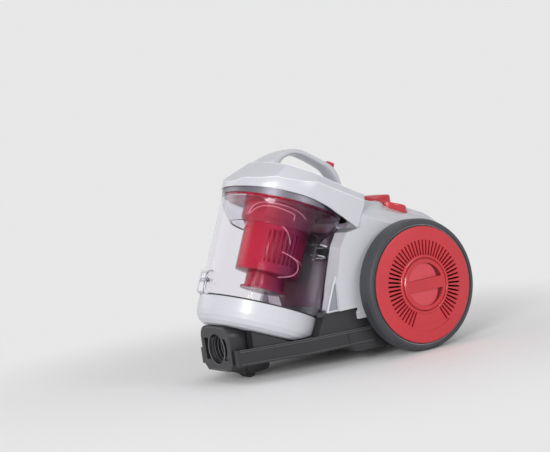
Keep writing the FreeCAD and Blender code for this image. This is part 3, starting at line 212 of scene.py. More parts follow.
class Finish:
    """A material under construction: link() joins sockets, node() adds a node with its settings."""

    def __init__(self, name):
        self.material = bpy.data.materials.new(name)
        self.material.use_nodes = True
        self.tree = self.material.node_tree
        self.shader = self.tree.nodes["Principled BSDF"]
        self.output = self.tree.nodes["Material Output"]
        self.place = self.node("ShaderNodeTexCoord").outputs["Object"]

    def node(self, kind, inputs=(), **settings):
        made = self.tree.nodes.new(kind)
        for key, value in settings.items():
            setattr(made, key, value)
        for key, value in dict(inputs).items():
            if isinstance(value, bpy.types.NodeSocket):
                self.tree.links.new(value, made.inputs[key])
            else:
                made.inputs[key].default_value = value
        return made

    def link(self, source, target):
        self.tree.links.new(source, target)

    def noise(self, scale, detail=3.0, rough=0.5):
        made = self.node("ShaderNodeTexNoise", {"Vector": self.place, "Scale": scale,
                                                "Detail": detail, "Roughness": rough})
        return made.outputs["Fac"]

    def spread(self, source, low, high, start=0.3, end=0.7):
        """Maps source from start..end onto low..high."""
        made = self.node("ShaderNodeMapRange", {"Value": source, "From Min": start,
                                                "From Max": end, "To Min": low, "To Max": high})
        return made.outputs["Result"]

    def blend(self, factor, first, second):
        """Colour first where factor is 0 and second where it is 1."""
        made = self.node("ShaderNodeMix", data_type="RGBA")
        self.link(factor, made.inputs["Factor"])
        for socket, colour in ((made.inputs[6], first), (made.inputs[7], second)):
            if isinstance(colour, bpy.types.NodeSocket):
                self.link(colour, socket)
            else:
                socket.default_value = (*colour, 1)
        return made.outputs[2]

    def bump(self, height, distance):
        made = self.node("ShaderNodeBump", {"Height": height, "Distance": distance})
        self.link(made.outputs["Normal"], self.shader.inputs["Normal"])

    def drift(self, colour, share):
        """Colour that wanders slowly by a share to either side of its value."""
        low = [max(c * (1 - share), 0) for c in colour]
        high = [min(c * (1 + share), 1) for c in colour]
        return self.blend(self.spread(self.noise(9.0, 4.0), 0, 1), low, high)

    def plastic(self, rough, grain=0.00002, grain_scale=2200.0, coat=0.0):
        """Worn roughness, a grain that stands grain metres proud, and a thin coat."""
        self.link(self.spread(self.noise(14.0, 3.0), rough - 0.02, rough + 0.03),
                  self.shader.inputs["Roughness"])
        self.bump(self.noise(grain_scale, 2.0), grain)
        self.shader.inputs["IOR"].default_value = 1.5
        self.shader.inputs["Coat Weight"].default_value = coat
        self.shader.inputs["Coat Roughness"].default_value = 0.1


def moulded(name, colour, rough, drift=0.04, **surface):
    """Moulded plastic whose colour drifts by a share; surface settings go on to plastic()."""
    f = Finish(name)
    f.link(f.drift(colour, drift), f.shader.inputs["Base Color"])
    f.plastic(rough, **surface)
    return f.material


FOAM = {"grain": 0.0002, "grain_scale": 700}
RUBBER = {"grain": 0.00005, "grain_scale": 900, "drift": 0.15}
COARSE = {"grain": 0.00004, "grain_scale": 1500, "drift": 0.12}
PLASTICS = {
    "shell_white": ((0.55, 0.555, 0.595), 0.30, {"drift": 0.02, "coat": 0.15}),
    "accent_red": ((0.52, 0.024, 0.036), 0.30, {"drift": 0.05, "coat": 0.2}),
    "charcoal": ((0.018, 0.018, 0.020), 0.38, COARSE),
    "tyre_rubber": ((0.040, 0.042, 0.048), 0.5, RUBBER),
    "rim_grey": ((0.20, 0.20, 0.215), 0.38, {}),
    "seal_black": ((0.012, 0.012, 0.013), 0.55, {"drift": 0.2}),
    "exhaust_foam": ((0.012, 0.012, 0.013), 0.9, FOAM),
    "filter_foam": ((0.66, 0.65, 0.61), 0.85, FOAM),
    "reel_plastic": ((0.05, 0.05, 0.055), 0.5, {}),
    "board_green": ((0.01, 0.09, 0.04), 0.4, {}),
    # light pink of the core's ribs: painted highlight
    "painted_highlight_pink": ((0.78, 0.34, 0.42), 0.25, {}),
    # whiter white of the lid's crease beads: painted highlight
    "painted_highlight_white": ((0.80, 0.80, 0.84), 0.25, {}),
    "seam_dark": ((0.02, 0.02, 0.022), 0.5, {}),
    # grey of the fins' sunk panels: painted shade
    "fin_painted_shade": ((0.26, 0.26, 0.29), 0.35, {}),
    "well_red": ((0.60, 0.060, 0.080), 0.42, {}),
    # dark red of the knob grooves, and of the painted shade in the finger wells
    "seam_and_painted_shade_red": ((0.10, 0.006, 0.008), 0.5, {}),
    # paler grey of the rail, port and bore beads: painted highlight
    "painted_highlight_grey": ((0.095, 0.095, 0.10), 0.32, {}),
}
finishes = {name: moulded(name, colour, rough, **extra)
            for name, (colour, rough, extra) in PLASTICS.items()}
print("moulded finishes", len(finishes))

# %% [markdown]
# ### The bin's lean
# The bin stands on a point near the nose and leans back by TILT. UP is its axis and REAR is the
# direction square to it that points rearwards. Two finishes read the place across that axis.

# %% Axis of the bin
BIN_BASE = Vector((0, -0.096, 0.092))
TILT = math.radians(23.7)
UP = Vector((0, math.sin(TILT), math.cos(TILT)))
REAR = Vector((0, math.cos(TILT), -math.sin(TILT)))
print("axis of the bin", tuple(round(c, 4) for c in UP))

# %% [markdown]
# ### Clear and tinted plastic
# The bin is a real wall of clear plastic, so the shader is glass with a faint smoky tint. Lamp
# rays pass it through a Transparent shader, because a moulded bin hardly darkens what it holds.
# The core is red in front; its purple behind is painted shade, for the dark seat seen through it.

# %% Clear plastics
# where the painted shade on the rear of the core and of its inner tube begins and ends
FADE_FRONT, FADE_BACK = -0.048, 0.004


def fade_rearwards(f, front, behind):
    """Colour that turns from front to behind between two distances along REAR from the axis."""
    far = f.node("ShaderNodeVectorMath", {0: f.place, 1: REAR}, operation="DOT_PRODUCT")
    axis = BIN_BASE.dot(REAR)
    share = f.spread(far.outputs["Value"], 0, 1, axis + FADE_FRONT, axis + FADE_BACK)
    f.link(f.blend(share, front, behind), f.shader.inputs["Base Color"])


def clear_plastic(name, tint, rough, lamp_tint, ior, through=1.0, behind=None):
    """Glass for sight and Transparent for lamp rays, with hairline scratches in the roughness."""
    f = Finish(name)
    f.shader.inputs["Base Color"].default_value = (*tint, 1)
    f.shader.inputs["Transmission Weight"].default_value = through
    f.shader.inputs["IOR"].default_value = ior
    f.link(f.spread(f.noise(60.0, 6.0, 0.7), rough, rough + 0.04, 0.45, 0.8),
           f.shader.inputs["Roughness"])
    if behind:
        fade_rearwards(f, tint, behind)
    clear = f.node("ShaderNodeBsdfTransparent", {"Color": (*lamp_tint, 1)})
    path = f.node("ShaderNodeLightPath")
    mix = f.node("ShaderNodeMixShader")
    f.link(path.outputs["Is Shadow Ray"], mix.inputs[0])
    f.link(f.shader.outputs[0], mix.inputs[1])
    f.link(clear.outputs[0], mix.inputs[2])
    f.link(mix.outputs[0], f.output.inputs["Surface"])
    return f.material


def shade_lining_finish():
    """Painted shade for the core's hollow: red in front, a deep purple behind towards the dark
    seat.
    """
    f = Finish("core_shade_lining")
    fade_rearwards(f, (0.40, 0.008, 0.022), (0.055, 0.006, 0.03))
    f.link(f.spread(f.noise(14.0, 3.0), 0.38, 0.44), f.shader.inputs["Roughness"])
    f.bump(f.noise(900.0, 2.0), 0.00005)
    return f.material


finishes["clear"] = clear_plastic("clear_plastic", (0.955, 0.945, 0.97), rough=0.0,
                                  lamp_tint=(0.93, 0.93, 0.95), ior=1.13)
finishes["thick_clear"] = clear_plastic("thick_clear", (0.93, 0.93, 0.96), rough=0.07,
                                        lamp_tint=(0.90, 0.90, 0.93), ior=1.28)
finishes["milky"] = clear_plastic("milky_clear", (0.88, 0.88, 0.92), rough=0.14,
                                  lamp_tint=(0.85, 0.85, 0.88), ior=1.4)
# the core's purple behind is painted shade, for the dark seat seen through it
finishes["core_red"] = clear_plastic("core_red", (0.56, 0.016, 0.050), rough=0.10,
                                     lamp_tint=(0.85, 0.12, 0.18), ior=1.3, through=0.6,
                                     behind=(0.22, 0.012, 0.07))
# the dark tube inside the core is painted shade
finishes["core_painted_shade"] = shade_lining_finish()
print("finishes with the clear ones", len(finishes))

# %% [markdown]
# ### Metals
# Springs, screws, the motor and the trim ring are metal. A fine noise varies their roughness, as
# brushing does, and a finer one presses faint lines into them.

# %% Metals


def metal(name, colour, rough, scratch_scale=400.0):
    """Metal whose roughness follows a fine noise, with a bump at twice that scale."""
    f = Finish(name)
    f.shader.inputs["Metallic"].default_value = 1.0
    f.shader.inputs["Base Color"].default_value = (*colour, 1)
    f.link(f.spread(f.noise(scratch_scale, 4.0), rough - 0.08, rough + 0.1),
           f.shader.inputs["Roughness"])
    f.bump(f.noise(scratch_scale * 2, 2.0), 0.00001)
    return f.material


finishes["silver_trim"] = metal("silver_trim", (0.20, 0.19, 0.22), 0.36)
finishes["steel"] = metal("steel", (0.56, 0.56, 0.58), 0.3)
finishes["motor_steel"] = metal("motor_steel", (0.45, 0.45, 0.47), 0.4)
print("all finishes", len(finishes))

# %% [markdown]
# ### Dressing the nodes
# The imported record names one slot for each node, and each slot has its finish.

# %% Dress the carried nodes


def dress(item, finish):
    """Gives the object one finish and no other."""
    item.data.materials.clear()
    item.data.materials.append(finish)


node_slot = {part["node"]: part["material_slot"] for part in frame["record"]["subparts"]}
for name, item in nodes.items():
    dress(item, finishes[node_slot[name]])
print("dressed nodes", len(node_slot))

# %% [markdown]
# ### The body behind the bin
# The body is white outside, and its hollow seat for the bin is a smoky dark moulding that shows
# through the clear wall. Both are one piece here, so the finish tells them apart by distance:
# whatever lies within the seat's radius of the bin's leaning axis takes the smoky tone.

# %% The body's two tones
SEAT_RADIUS = 0.0862


def two_tone(name, outside, inside, rough):
    """Plastic in the inside colour where the bin's axis is nearer than SEAT_RADIUS."""
    f = Finish(name)

    def vector(operation, *values):
        return f.node("ShaderNodeVectorMath", enumerate(values), operation=operation)

    base = vector("SUBTRACT", f.place, BIN_BASE).outputs[0]
    along = vector("PROJECT", base, UP).outputs[0]
    across = vector("SUBTRACT", base, along).outputs[0]
    radius = vector("LENGTH", across).outputs["Value"]
    share = f.spread(radius, 0, 1, SEAT_RADIUS + 0.0003, SEAT_RADIUS + 0.0005)
    f.link(f.blend(share, inside, f.drift(outside, 0.02)), f.shader.inputs["Base Color"])
    f.plastic(rough, coat=0.15)
    return f.material


dress(nodes["body_shell"],
      two_tone("body_white_and_smoke", (0.55, 0.555, 0.59), (0.045, 0.010, 0.030), 0.30))
print("body finished")

# %% [markdown]
# ## Tools for shapes
# The bin leans back, so its pieces are easiest to describe in a frame that leans with it: x goes
# across, v rearwards and w up along the bin's axis, all in millimetres. bin_place() turns such
# points into metres of the machine. smooth_path() draws a curve through a few points, loft()
# lays a skin over rings of points, superellipse() gives sections with soft corners, and tube()
# gives the rings of a round bead.

# %% Paths, skins and sections


def bin_place(points):
    """Machine metres of (x, v, w) bin millimetres: base + x across + v rearwards + w along."""
    points = np.asarray(points, float) / 1000
    across, rearwards, along = points[..., :1], points[..., 1:2], points[..., 2:]
    return (np.array(BIN_BASE) + across * [1, 0, 0] + rearwards * np.array(REAR)
            + along * np.array(UP))


def smooth_path(points, steps):
    """Catmull-Rom curve through points: each span is a cubic whose slopes join its neighbours."""
    p = np.asarray(points, float)
    p = np.concatenate([2 * p[:1] - p[1:2], p, 2 * p[-1:] - p[-2:-1]])
    span = np.linspace(0, len(p) - 3 - 1e-9, steps)
    i = span.astype(int)
    t = (span - i)[:, None]
    a, b, c, d = p[i], p[i + 1], p[i + 2], p[i + 3]
    square, cube = 2 * a - 5 * b + 4 * c - d, 3 * b - a - 3 * c + d
    return 0.5 * (2 * b + (c - a) * t + square * t**2 + cube * t**3)


def outward(piece):
    """Recalculates the normals of a closed shell so that they all point out."""
    work = bmesh.new()
    work.from_mesh(piece.data)
    bmesh.ops.remove_doubles(work, verts=work.verts, dist=1e-7)
    bmesh.ops.recalc_face_normals(work, faces=work.faces)
    work.to_mesh(piece.data)
    work.free()


def loft(name, rings, body, finish, capped=True, closed=False):
    """Skin over rings (stations, points, 3) in metres; the end rings are closed with fans."""
    stations, count = rings.shape[:2]
    points = rings.reshape(-1, 3)
    faces = grid_faces(stations, count, closed, True).tolist()
    if capped:
        ends = [rings[0].mean(0), rings[-1].mean(0)]
        points = np.concatenate([points, ends])
        j = np.arange(count)
        k = (j + 1) % count
        last = (stations - 1) * count
        faces += np.stack([k, j, np.full(count, stations * count)], -1).tolist()
        faces += np.stack([last + j, last + k, np.full(count, stations * count + 1)], -1).tolist()
    piece = mesh_object(name, points, faces)
    outward(piece)
    dress(piece, finishes[finish])
    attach(piece, body)
    return piece


def superellipse(count, power):
    """Unit superellipse |x|^power + |y|^power = 1 as signed powers of cosine and sine."""
    t = np.linspace(0, 2 * np.pi, count, endpoint=False)
    c, s = np.cos(t), np.sin(t)
    return np.sign(c) * np.abs(c) ** (2 / power), np.sign(s) * np.abs(s) ** (2 / power)


def unit(vectors):
    """The rows of an array, each divided by its length."""
    return vectors / np.linalg.norm(vectors, axis=1)[:, None]


def square_to(line):
    """Unit vectors square to a plane line, on its left: the gradient turned by a quarter."""
    slope = np.gradient(line, axis=0)
    return np.stack([-slope[:, 1], slope[:, 0]], -1) / np.linalg.norm(slope, axis=1)[:, None]


def tube(path, first, second, radius, around=8):
    """Circles along a path: point + radius * (first * cos t + second * sin t)."""
    t = np.linspace(0, 2 * np.pi, around, endpoint=False)[None, :, None]
    first, second = np.atleast_2d(first), np.atleast_2d(second)
    return path[:, None] + radius * (first[:, None] * np.cos(t) + second[:, None] * np.sin(t))


print("a point above the bin's foot", bin_place([0, 0, 100]).round(4))

# %% [markdown]
# ## Carrying handle
# The handle is one thick rounded arch that grows out of the lid, wide at the front and narrow on
# top. It is a loft: at each station the side profile gives an outer and an inner point, the plan
# gives the half width, and a superellipse fills that box with soft corners. Then a pocket is
# cut for the release button, so that the button can sink into the handle.

# %% Handle skin
HANDLE_OUTER = ((-61, 186), (-52, 197), (-41, 208), (-26, 219.5), (-12, 226.5), (2, 230.6),
                (21, 230.2), (44, 227.2), (60, 224.6), (71, 218), (79, 209), (87, 196), (95, 177))
HANDLE_INNER = ((-33, 184), (-29, 195), (-23, 205.5), (-15, 213.5), (-5, 219.5), (6, 222),
                (20, 221.2), (38, 218.6), (52, 215.4), (62, 210.5), (69, 203.5), (75.5, 193),
                (81, 177))
HANDLE_HALF = (34, 32, 24, 19.5, 17, 15.8, 15.4, 15.4, 15.4, 15.6, 16, 17, 18)
BUTTON_POCKET = ((-8.4, 54.4, 217.5), (8.4, 67.6, 260))


def handle_skin(stations=72, around=40):
    """Rings between the outer and inner line: middle + d * half thickness + x * half width."""
    outer = smooth_path(HANDLE_OUTER, stations)
    inner = smooth_path(HANDLE_INNER, stations)
    half = smooth_path(np.array(HANDLE_HALF)[:, None], stations)
    up, side = superellipse(around, power=2.7)
    middle, reach = (outer + inner) / 2, (outer - inner) / 2
    vw = middle[:, None] + reach[:, None] * up[None, :, None]
    x = half * side[None]
    return bin_place(np.concatenate([x[..., None], vw], -1))


def cut_box(piece, low, high):
    """Cuts a box given by two bin-frame corners out of the piece and keeps the result."""
    a, b = np.array(low, float), np.array(high, float)
    corners = np.array([[x, v, w] for x in (0, 1) for v in (0, 1) for w in (0, 1)])
    faces = [(0, 1, 3, 2), (4, 6, 7, 5), (0, 4, 5, 1), (2, 3, 7, 6), (0, 2, 6, 4), (1, 5, 7, 3)]
    tool = mesh_object("pocket_tool", bin_place(a + corners * (b - a)), faces, False)
    cut = piece.modifiers.new("pocket", "BOOLEAN")
    cut.object, cut.operation, cut.solver = tool, "DIFFERENCE", "EXACT"
    bpy.context.view_layer.update()
    graph = bpy.context.evaluated_depsgraph_get()
    piece.data = bpy.data.meshes.new_from_object(piece.evaluated_get(graph))
    piece.modifiers.clear()
    bpy.data.objects.remove(tool)


handle = loft("handle_skin", handle_skin(), "bin", "shell_white")
cut_box(handle, *BUTTON_POCKET)
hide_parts("carry_handle")
print("handle faces", len(handle.data.polygons))

# %% [markdown]
# ## Crease lines of the lid
# A narrow rolled edge runs round the lid where its upright band meets the facets, and a second
# one round the flat top. The place of the first is found by dropping rays on the lid from above,
# just inside its outline; the second follows the corners of the flat top. Both are thin beads,
# whiter than the lid: their light line is painted highlight.

# %% Lid creases
LID_RADIUS, LID_CORNER = 88.3, (90, 77)
LID_OVER = 260.0
CREASE_INSET, CREASE_SINK, CREASE_THICK = 0.9965, 0.00035, 0.55
FLAT_HEIGHT, FLAT_FALL, FLAT_SINK, FLAT_THICK = 188, 0.1, 0.3, 0.5
FLAT_EDGE = ((-85, 77), (-78, -5), (-62, -39), (-14, -58), (14, -58), (62, -39), (78, -5), (85, 77))


def lid_bead(name, path, thick):
    """Bead of radius thick millimetres along machine points: upright rings square to the run."""
    tangent = unit(np.gradient(path, axis=0))
    side = unit(np.cross(tangent, np.array(UP)))
    rings = tube(path, side, np.cross(side, tangent), thick / 1000)
    # the bead's whiter white is painted highlight along the crease
    loft(name, rings, "bin", "painted_highlight_white")


def lid_outline(steps):
    """Half circle in front of the axis, continued by straight sides to the rear corners."""
    a = np.linspace(-90, 90, steps)
    front = np.stack([LID_RADIUS * np.sin(np.radians(a)), -LID_RADIUS * np.cos(np.radians(a))], -1)
    t = np.linspace(0, 1, 24)[1:, None]
    right = np.array([[LID_RADIUS, 0]]) * (1 - t) + np.array([LID_CORNER]) * t
    return np.concatenate([(right * [-1, 1])[::-1], front, right])


lid = nodes["bin_lid"].data
lid_tree = BVHTree.FromPolygons([v.co for v in lid.vertices],
                                [tuple(p.vertices) for p in lid.polygons])
plan = lid_outline(96) * CREASE_INSET
starts = bin_place(np.concatenate([plan, np.full((len(plan), 1), LID_OVER)], -1))
hits = [lid_tree.ray_cast(Vector(p), -UP)[0] for p in starts.tolist()]
crease = np.array([list(h) for h in hits if h is not None]) - np.array(UP) * CREASE_SINK
lid_bead("lid_crease", crease, CREASE_THICK)
flat = np.array([(x, v, FLAT_HEIGHT - FLAT_FALL * v - FLAT_SINK) for x, v in FLAT_EDGE])
for index in range(len(flat) - 1):
    t = np.linspace(0, 1, 6)[:, None]
    run = bin_place(flat[index] * (1 - t) + flat[index + 1] * t)
    lid_bead("lid_flat_edge_%d" % (index + 1), run, FLAT_THICK)
print("crease points", len(crease))

# %% [markdown]
# ## Clear funnel in the bin
# The bin holds more clear plastic than its wall. A funnel runs from the wall down to the core's
# upper tier and draws thick bright edges. It is a closed profile turned round the bin's axis.

# %% Clear funnel


def turned_rings(profile, count=128):
    """Closed profile of (radius, height) turned round the bin's axis: r cos a, r sin a, height."""
    profile = np.asarray(profile, float)
    angle = np.linspace(0, 2 * np.pi, count, endpoint=False)[:, None]
    r, w = profile[None, :, 0], profile[None, :, 1]
    return bin_place(np.stack([r * np.cos(angle), r * np.sin(angle), w + 0 * angle], -1))


FUNNEL_LINE = ((81.7, 140.5), (81.0, 134), (78.4, 127), (74, 120.5), (68.6, 114.5), (64.4, 109))
FUNNEL_WALL = 1.8
line = smooth_path(FUNNEL_LINE, 22)
profile = np.concatenate([line, (line + square_to(line) * FUNNEL_WALL)[::-1]])
funnel = loft("clear_funnel", turned_rings(profile), "bin", "thick_clear",
              capped=False, closed=True)
print("funnel faces", len(funnel.data.polygons))

# %% [markdown]
# ## Painted shade inside the core
# A thin dark tube of painted shade stands inside the core, so that its slots open on a dark hollow.

# %% Dark tube of painted shade inside the core
SHADE_LINING = ((40.8, 50), (41.6, 50), (41.6, 111), (40.8, 111))
shade_lining = loft("core_shade_lining", turned_rings(SHADE_LINING), "bin", "core_painted_shade",
              capped=False, closed=True)
print("lining faces", len(shade_lining.data.polygons))

# %% [markdown]
# ## Ribs of the core
# The air guides on the core are thin raised ribs. Each is a round bead carried along a curve
# that is given by angle and height on a cylinder, one cylinder for the core and one for the
# wider tier above it. Their light pink, paler than the core, is painted highlight.

# %% Moulded ribs on the core
CORE_SKIN, CROWN_SKIN, RIB = 45.6, 52.4, 0.4


def core_bead(name, track, radius, steps=60):
    """Bead of radius RIB along (angle, height) points on a cylinder: rings square to the track."""
    flat = smooth_path(track, steps)
    angle = np.radians(flat[:, 0])
    centre = np.stack([radius * np.cos(angle), radius * np.sin(angle), flat[:, 1]], -1)
    out = np.stack([np.cos(angle), np.sin(angle), 0 * angle], -1)
    side = np.cross(unit(np.gradient(centre, axis=0)), out)
    # the rib's light pink is painted highlight
    loft(name, bin_place(tube(centre, out, side, RIB)), "bin", "painted_highlight_pink")


CORE_RIBS = {
    "air_guide_arch": (CORE_SKIN, ((-104, 104), (-96, 112), (-86, 117), (-65, 119), (-40, 116),
                                   (-18, 110), (-6, 101), (1, 89))),
    "air_guide_hook": (CORE_SKIN, ((-9, 76), (8, 73.5), (26, 69), (34, 62), (30, 54), (12, 46),
                                   (-10, 41))),
    "air_guide_slant": (CORE_SKIN, ((-12, 76.5), (20, 72), (52, 68))),
    "crown_hood_upper": (CROWN_SKIN, ((-84, 120), (-78, 130), (-66, 137), (-50, 139), (-26, 139),
                                      (0, 135), (16, 128))),
    "crown_window": (CROWN_SKIN, ((-80, 121), (-70, 129), (-56, 133.5), (-38, 134.5), (-18, 132),
                                  (-8, 130), (-6.5, 128), (-6.5, 124), (-7, 121.5))),
}
for name, (radius, track) in CORE_RIBS.items():
    core_bead(name, track, radius)
print("ribs", len(CORE_RIBS))

# %% [markdown]
# ## Foot pedals
# Two red pedals stand on the body's shoulder: a long pointed one and a short oval one. Each is a
# stack of rings: upright sides, a rolled edge, then smaller and smaller rings over a crown that
# follows the slope of the body, so that the pedal stands proud of it all round.

# %% Pedal caps
PEDAL_FOOT, FOOT_BAND = 188, 0.6
POWER_PEDAL, REWIND_PEDAL = (8, 112), (52, 118)
CAP_SHARE = np.array((1, 1, 1, 1, 0.985, 0.95, 0.88, 0.75, 0.55, 0.3, 0.05))
CAP_DROP = np.array((0, 0, 4.0, 2.4, 0.9, 0.25, 0, 0, 0, 0, 0))


def pedal_rings(centre, length, width, turn, power, top, slope, crown):
    """Superellipse plan, turned; height = top - slope * y - crown * (distance from middle)^2."""
    c, s = superellipse(64, power)
    a = math.radians(turn)
    lengthwise = length / 2 * c[None] * CAP_SHARE[:, None]
    widthwise = width / 2 * s[None] * CAP_SHARE[:, None]
    x = lengthwise * -math.sin(a) + widthwise * math.cos(a)
    y = lengthwise * math.cos(a) + widthwise * math.sin(a)
    spread = (lengthwise / length * 2) ** 2 * 0.5 + (widthwise / width * 2) ** 2
    z = top - slope * (y + centre[1]) - crown * spread - CAP_DROP[:, None]
    z[0] = PEDAL_FOOT
    z[1] = PEDAL_FOOT + FOOT_BAND
    return np.stack([centre[0] + x, centre[1] + y, z], -1) / 1000


power_rings = pedal_rings(POWER_PEDAL, length=61, width=25, turn=-14, power=1.75,
                          top=228.6, slope=0.07, crown=2.6)
power_cap = loft("power_pedal_cap", power_rings, "power_button", "accent_red")
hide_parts("power_pedal")
rewind_rings = pedal_rings(REWIND_PEDAL, length=37.6, width=27.6, turn=-15, power=2.3,
                           top=246.5, slope=0.34, crown=1.6)
rewind_cap = loft("rewind_pedal_cap", rewind_rings, "rewind_button", "accent_red")
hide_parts("rewind_pedal")
print("pedals made")

# %% [markdown]
# ## Pedal springs
# A round wire coil stands under each pedal. It is a circle carried along a helix whose ends lie
# flat. As the pedal goes down the coil is pressed together; here each coil gets a mesh of its own.

# %% Springs under the pedals
SPRING_FOOT, PEDAL_GAP, PEDAL_TRAVEL = 175, 12.7, 4.0
SPRING_RADIUS, SPRING_WIRE, SPRING_TURNS, LEVEL_TURNS = 5, 0.6, 6, 0.6


def spring(name, foot, height, steps=240):
    """Wire round (R cos a, R sin a, z): z climbs evenly between LEVEL_TURNS at either end."""
    a = np.linspace(0, 2 * np.pi * SPRING_TURNS, steps)
    t = np.clip((a / (2 * np.pi) - LEVEL_TURNS) / (SPRING_TURNS - 2 * LEVEL_TURNS), 0, 1)
    z = SPRING_WIRE + (height - 2 * SPRING_WIRE) * t
    path = np.stack([SPRING_RADIUS * np.cos(a), SPRING_RADIUS * np.sin(a), z], -1)
    out = np.stack([np.cos(a), np.sin(a), 0 * a], -1)
    rings = tube(path, out, (0, 0, 1.0), SPRING_WIRE, 10)
    return loft(name, (np.array(foot) + rings) / 1000, "body", "steel")


for word, (x, y) in (("power", POWER_PEDAL), ("rewind", REWIND_PEDAL)):
    coil = spring(word + "_coil", (x, y, SPRING_FOOT), PEDAL_GAP)
    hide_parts(word + "_spring")
    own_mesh(coil)
print("springs made")

# %% [markdown]
# ## Finger wells in the knobs
# Each twist knob has two half-moon wells beside its grip bar. They slope: shallow at one end and
# deep at the other, so that a fingertip finds an edge to push. A well's floor is a half disc
# whose depth grows smoothly along the bar. A dark red crescent of painted shade lies along the
# deep end's wall.

# %% Finger wells
WHEEL_Y, WHEEL_Z = 94, 92
KNOB_FACE = 135.5
WELL_RADIUS, WELL_BAR = 29.7, 8.3
WELL_SHALLOW, WELL_DEEP, WELL_BACK = 0.25, 3.7, 3.95
WELL_GAP = 0.05
WELL_REACH = math.sqrt(WELL_RADIUS**2 - WELL_BAR**2)


def well_sheet(side, sign, along, across, lift):
    """Plate under the points (along, across): face - deep * smoothstep(along) + lift on top."""
    columns, rows = along.shape
    share = (along + WELL_REACH) / (2 * WELL_REACH)
    depth = WELL_SHALLOW + (WELL_DEEP - WELL_SHALLOW) * share * share * (3 - 2 * share) - lift
    layers = [np.stack([side * (KNOB_FACE - drop), WHEEL_Y + along, WHEEL_Z + sign * across], -1)
              for drop in (depth, 0 * depth + WELL_BACK)]
    count = columns * rows
    quads = grid_faces(columns, rows)
    rim = np.concatenate([np.arange(rows), np.arange(1, columns) * rows + rows - 1,
                          (columns - 1) * rows + np.arange(rows - 2, -1, -1),
                          np.arange(columns - 2, 0, -1) * rows])
    walls = np.stack([rim, np.roll(rim, -1), np.roll(rim, -1) + count, rim + count], -1)
    faces = np.concatenate([quads, quads[:, ::-1] + count, walls])
    return np.concatenate([layer.reshape(-1, 3) for layer in layers]) / 1000, faces


def half_disc(columns=40, rows=12):
    """Grid of (along, across) that fills the disc's part beyond the chord at WELL_BAR."""
    s = np.linspace(WELL_GAP - WELL_REACH, WELL_REACH - WELL_GAP, columns)[:, None]
    t = np.linspace(0, 1, rows)[None, :]
    return s + 0 * t, WELL_BAR + t * (np.sqrt(WELL_RADIUS**2 - s**2) - WELL_BAR)


def crescent(columns=8, rows=28):
    """Grid of (along, across) beside the deep end's arc: 6.5 mm wide at the bar, 0.5 at the top."""
    share = np.linspace(0, 1, rows)[None, :]
    across = WELL_BAR + WELL_GAP + share * (0.985 * WELL_RADIUS - WELL_BAR)
    edge = np.sqrt(WELL_RADIUS**2 - across**2) - 0.06
    width = 0.5 + 6.0 * (1 - share) ** 0.8
    return edge - width * np.linspace(1, 0, columns)[:, None], across + 0 * np.ones((columns, 1))


SIDES = (("left", -1), ("right", 1))
# the dark crescent on each well floor is painted shade at the deep end
WELL_PARTS = (("well", half_disc(), 0.0, "well_red"), ("grip", crescent(), 0.12, "seam_and_painted_shade_red"))
for label, side in SIDES:
    for word, sign in (("upper", 1), ("lower", -1)):
        for part, (along, across), lift, finish in WELL_PARTS:
            points, faces = well_sheet(side, sign, along, across, lift)
            well = mesh_object("finger_%s_%s_%s" % (part, word, label), points, faces, False)
            outward(well)
            dress(well, finishes[finish])
            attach(well, "knob_" + label)
print("wells made")

# %% [markdown]
# ## Rings round the knobs and covers
# A narrow gap runs between each knob and its cover, and another between cover and tyre. Each is
# drawn by a thin dark ring at the bottom of the gap. A raised collar stands round the knob. All
# are closed sections turned round the wheel's axis.

# %% Rings on the wheels
KNOB_GROOVE = ((36.1, 130.6), (36.75, 130.6), (36.75, 132.9), (36.1, 132.9))
KNOB_COLLAR = ((37.2, 132.2), (37.35, 133.6), (37.8, 134.25), (38.6, 134.5), (39.6, 134.4),
               (40.6, 133.9), (41.3, 133.2), (41.6, 132.2))
TYRE_GROOVE = ((81.05, 127.4), (82.2, 127.4), (82.2, 128.6), (81.05, 128.6))
WHEEL_RINGS = (("knob_groove_", KNOB_GROOVE, "seam_and_painted_shade_red", "accent_red"),
               ("knob_collar_", KNOB_COLLAR, "accent_red", "accent_red"),
               ("tyre_groove_", TYRE_GROOVE, "seam_dark", "seal_black"))


def wheel_ring(name, side, profile, body, finish, count=128):
    """Closed profile of (radius, distance from the middle plane) turned round the wheel's axis."""
    profile = np.asarray(profile, float)
    angle = np.linspace(0, 2 * np.pi, count, endpoint=False)[:, None]
    r = profile[None, :, 0]
    x = side * profile[None, :, 1] + 0 * angle
    rings = np.stack([x, WHEEL_Y + r * np.cos(angle), WHEEL_Z + r * np.sin(angle)], -1) / 1000
    loft(name, rings, body, finish, capped=False, closed=True)


for label, side in SIDES:
    for word, profile, finish, slot in WHEEL_RINGS:
        wheel_ring(word + label, side, profile, "cover_" + label, finish)
print("wheel rings", 2 * len(WHEEL_RINGS))

# %% [markdown]
# ## Cradle fins
# A narrow triangular fin closes the gap between the foot of the bin and each cheek of the body.
# Its slanted edge runs beside the bin, and a raised border frames a sunk panel in painted shade.
# Both are lofts whose stations give a distance from the middle plane and an inset of the outline.

# %% Fins
FIN = np.array(((-23.0, 130.0), (-46.5, 76.0), (-23.0, 76.0)))
FIN_BORDER = ((89.6, 0.0), (93.2, 0.0), (93.8, 0.6), (93.8, 1.9), (93.0, 2.3), (89.6, 2.4))
FIN_PANEL = ((89.8, 2.3), (92.3, 2.3), (92.4, 2.6))


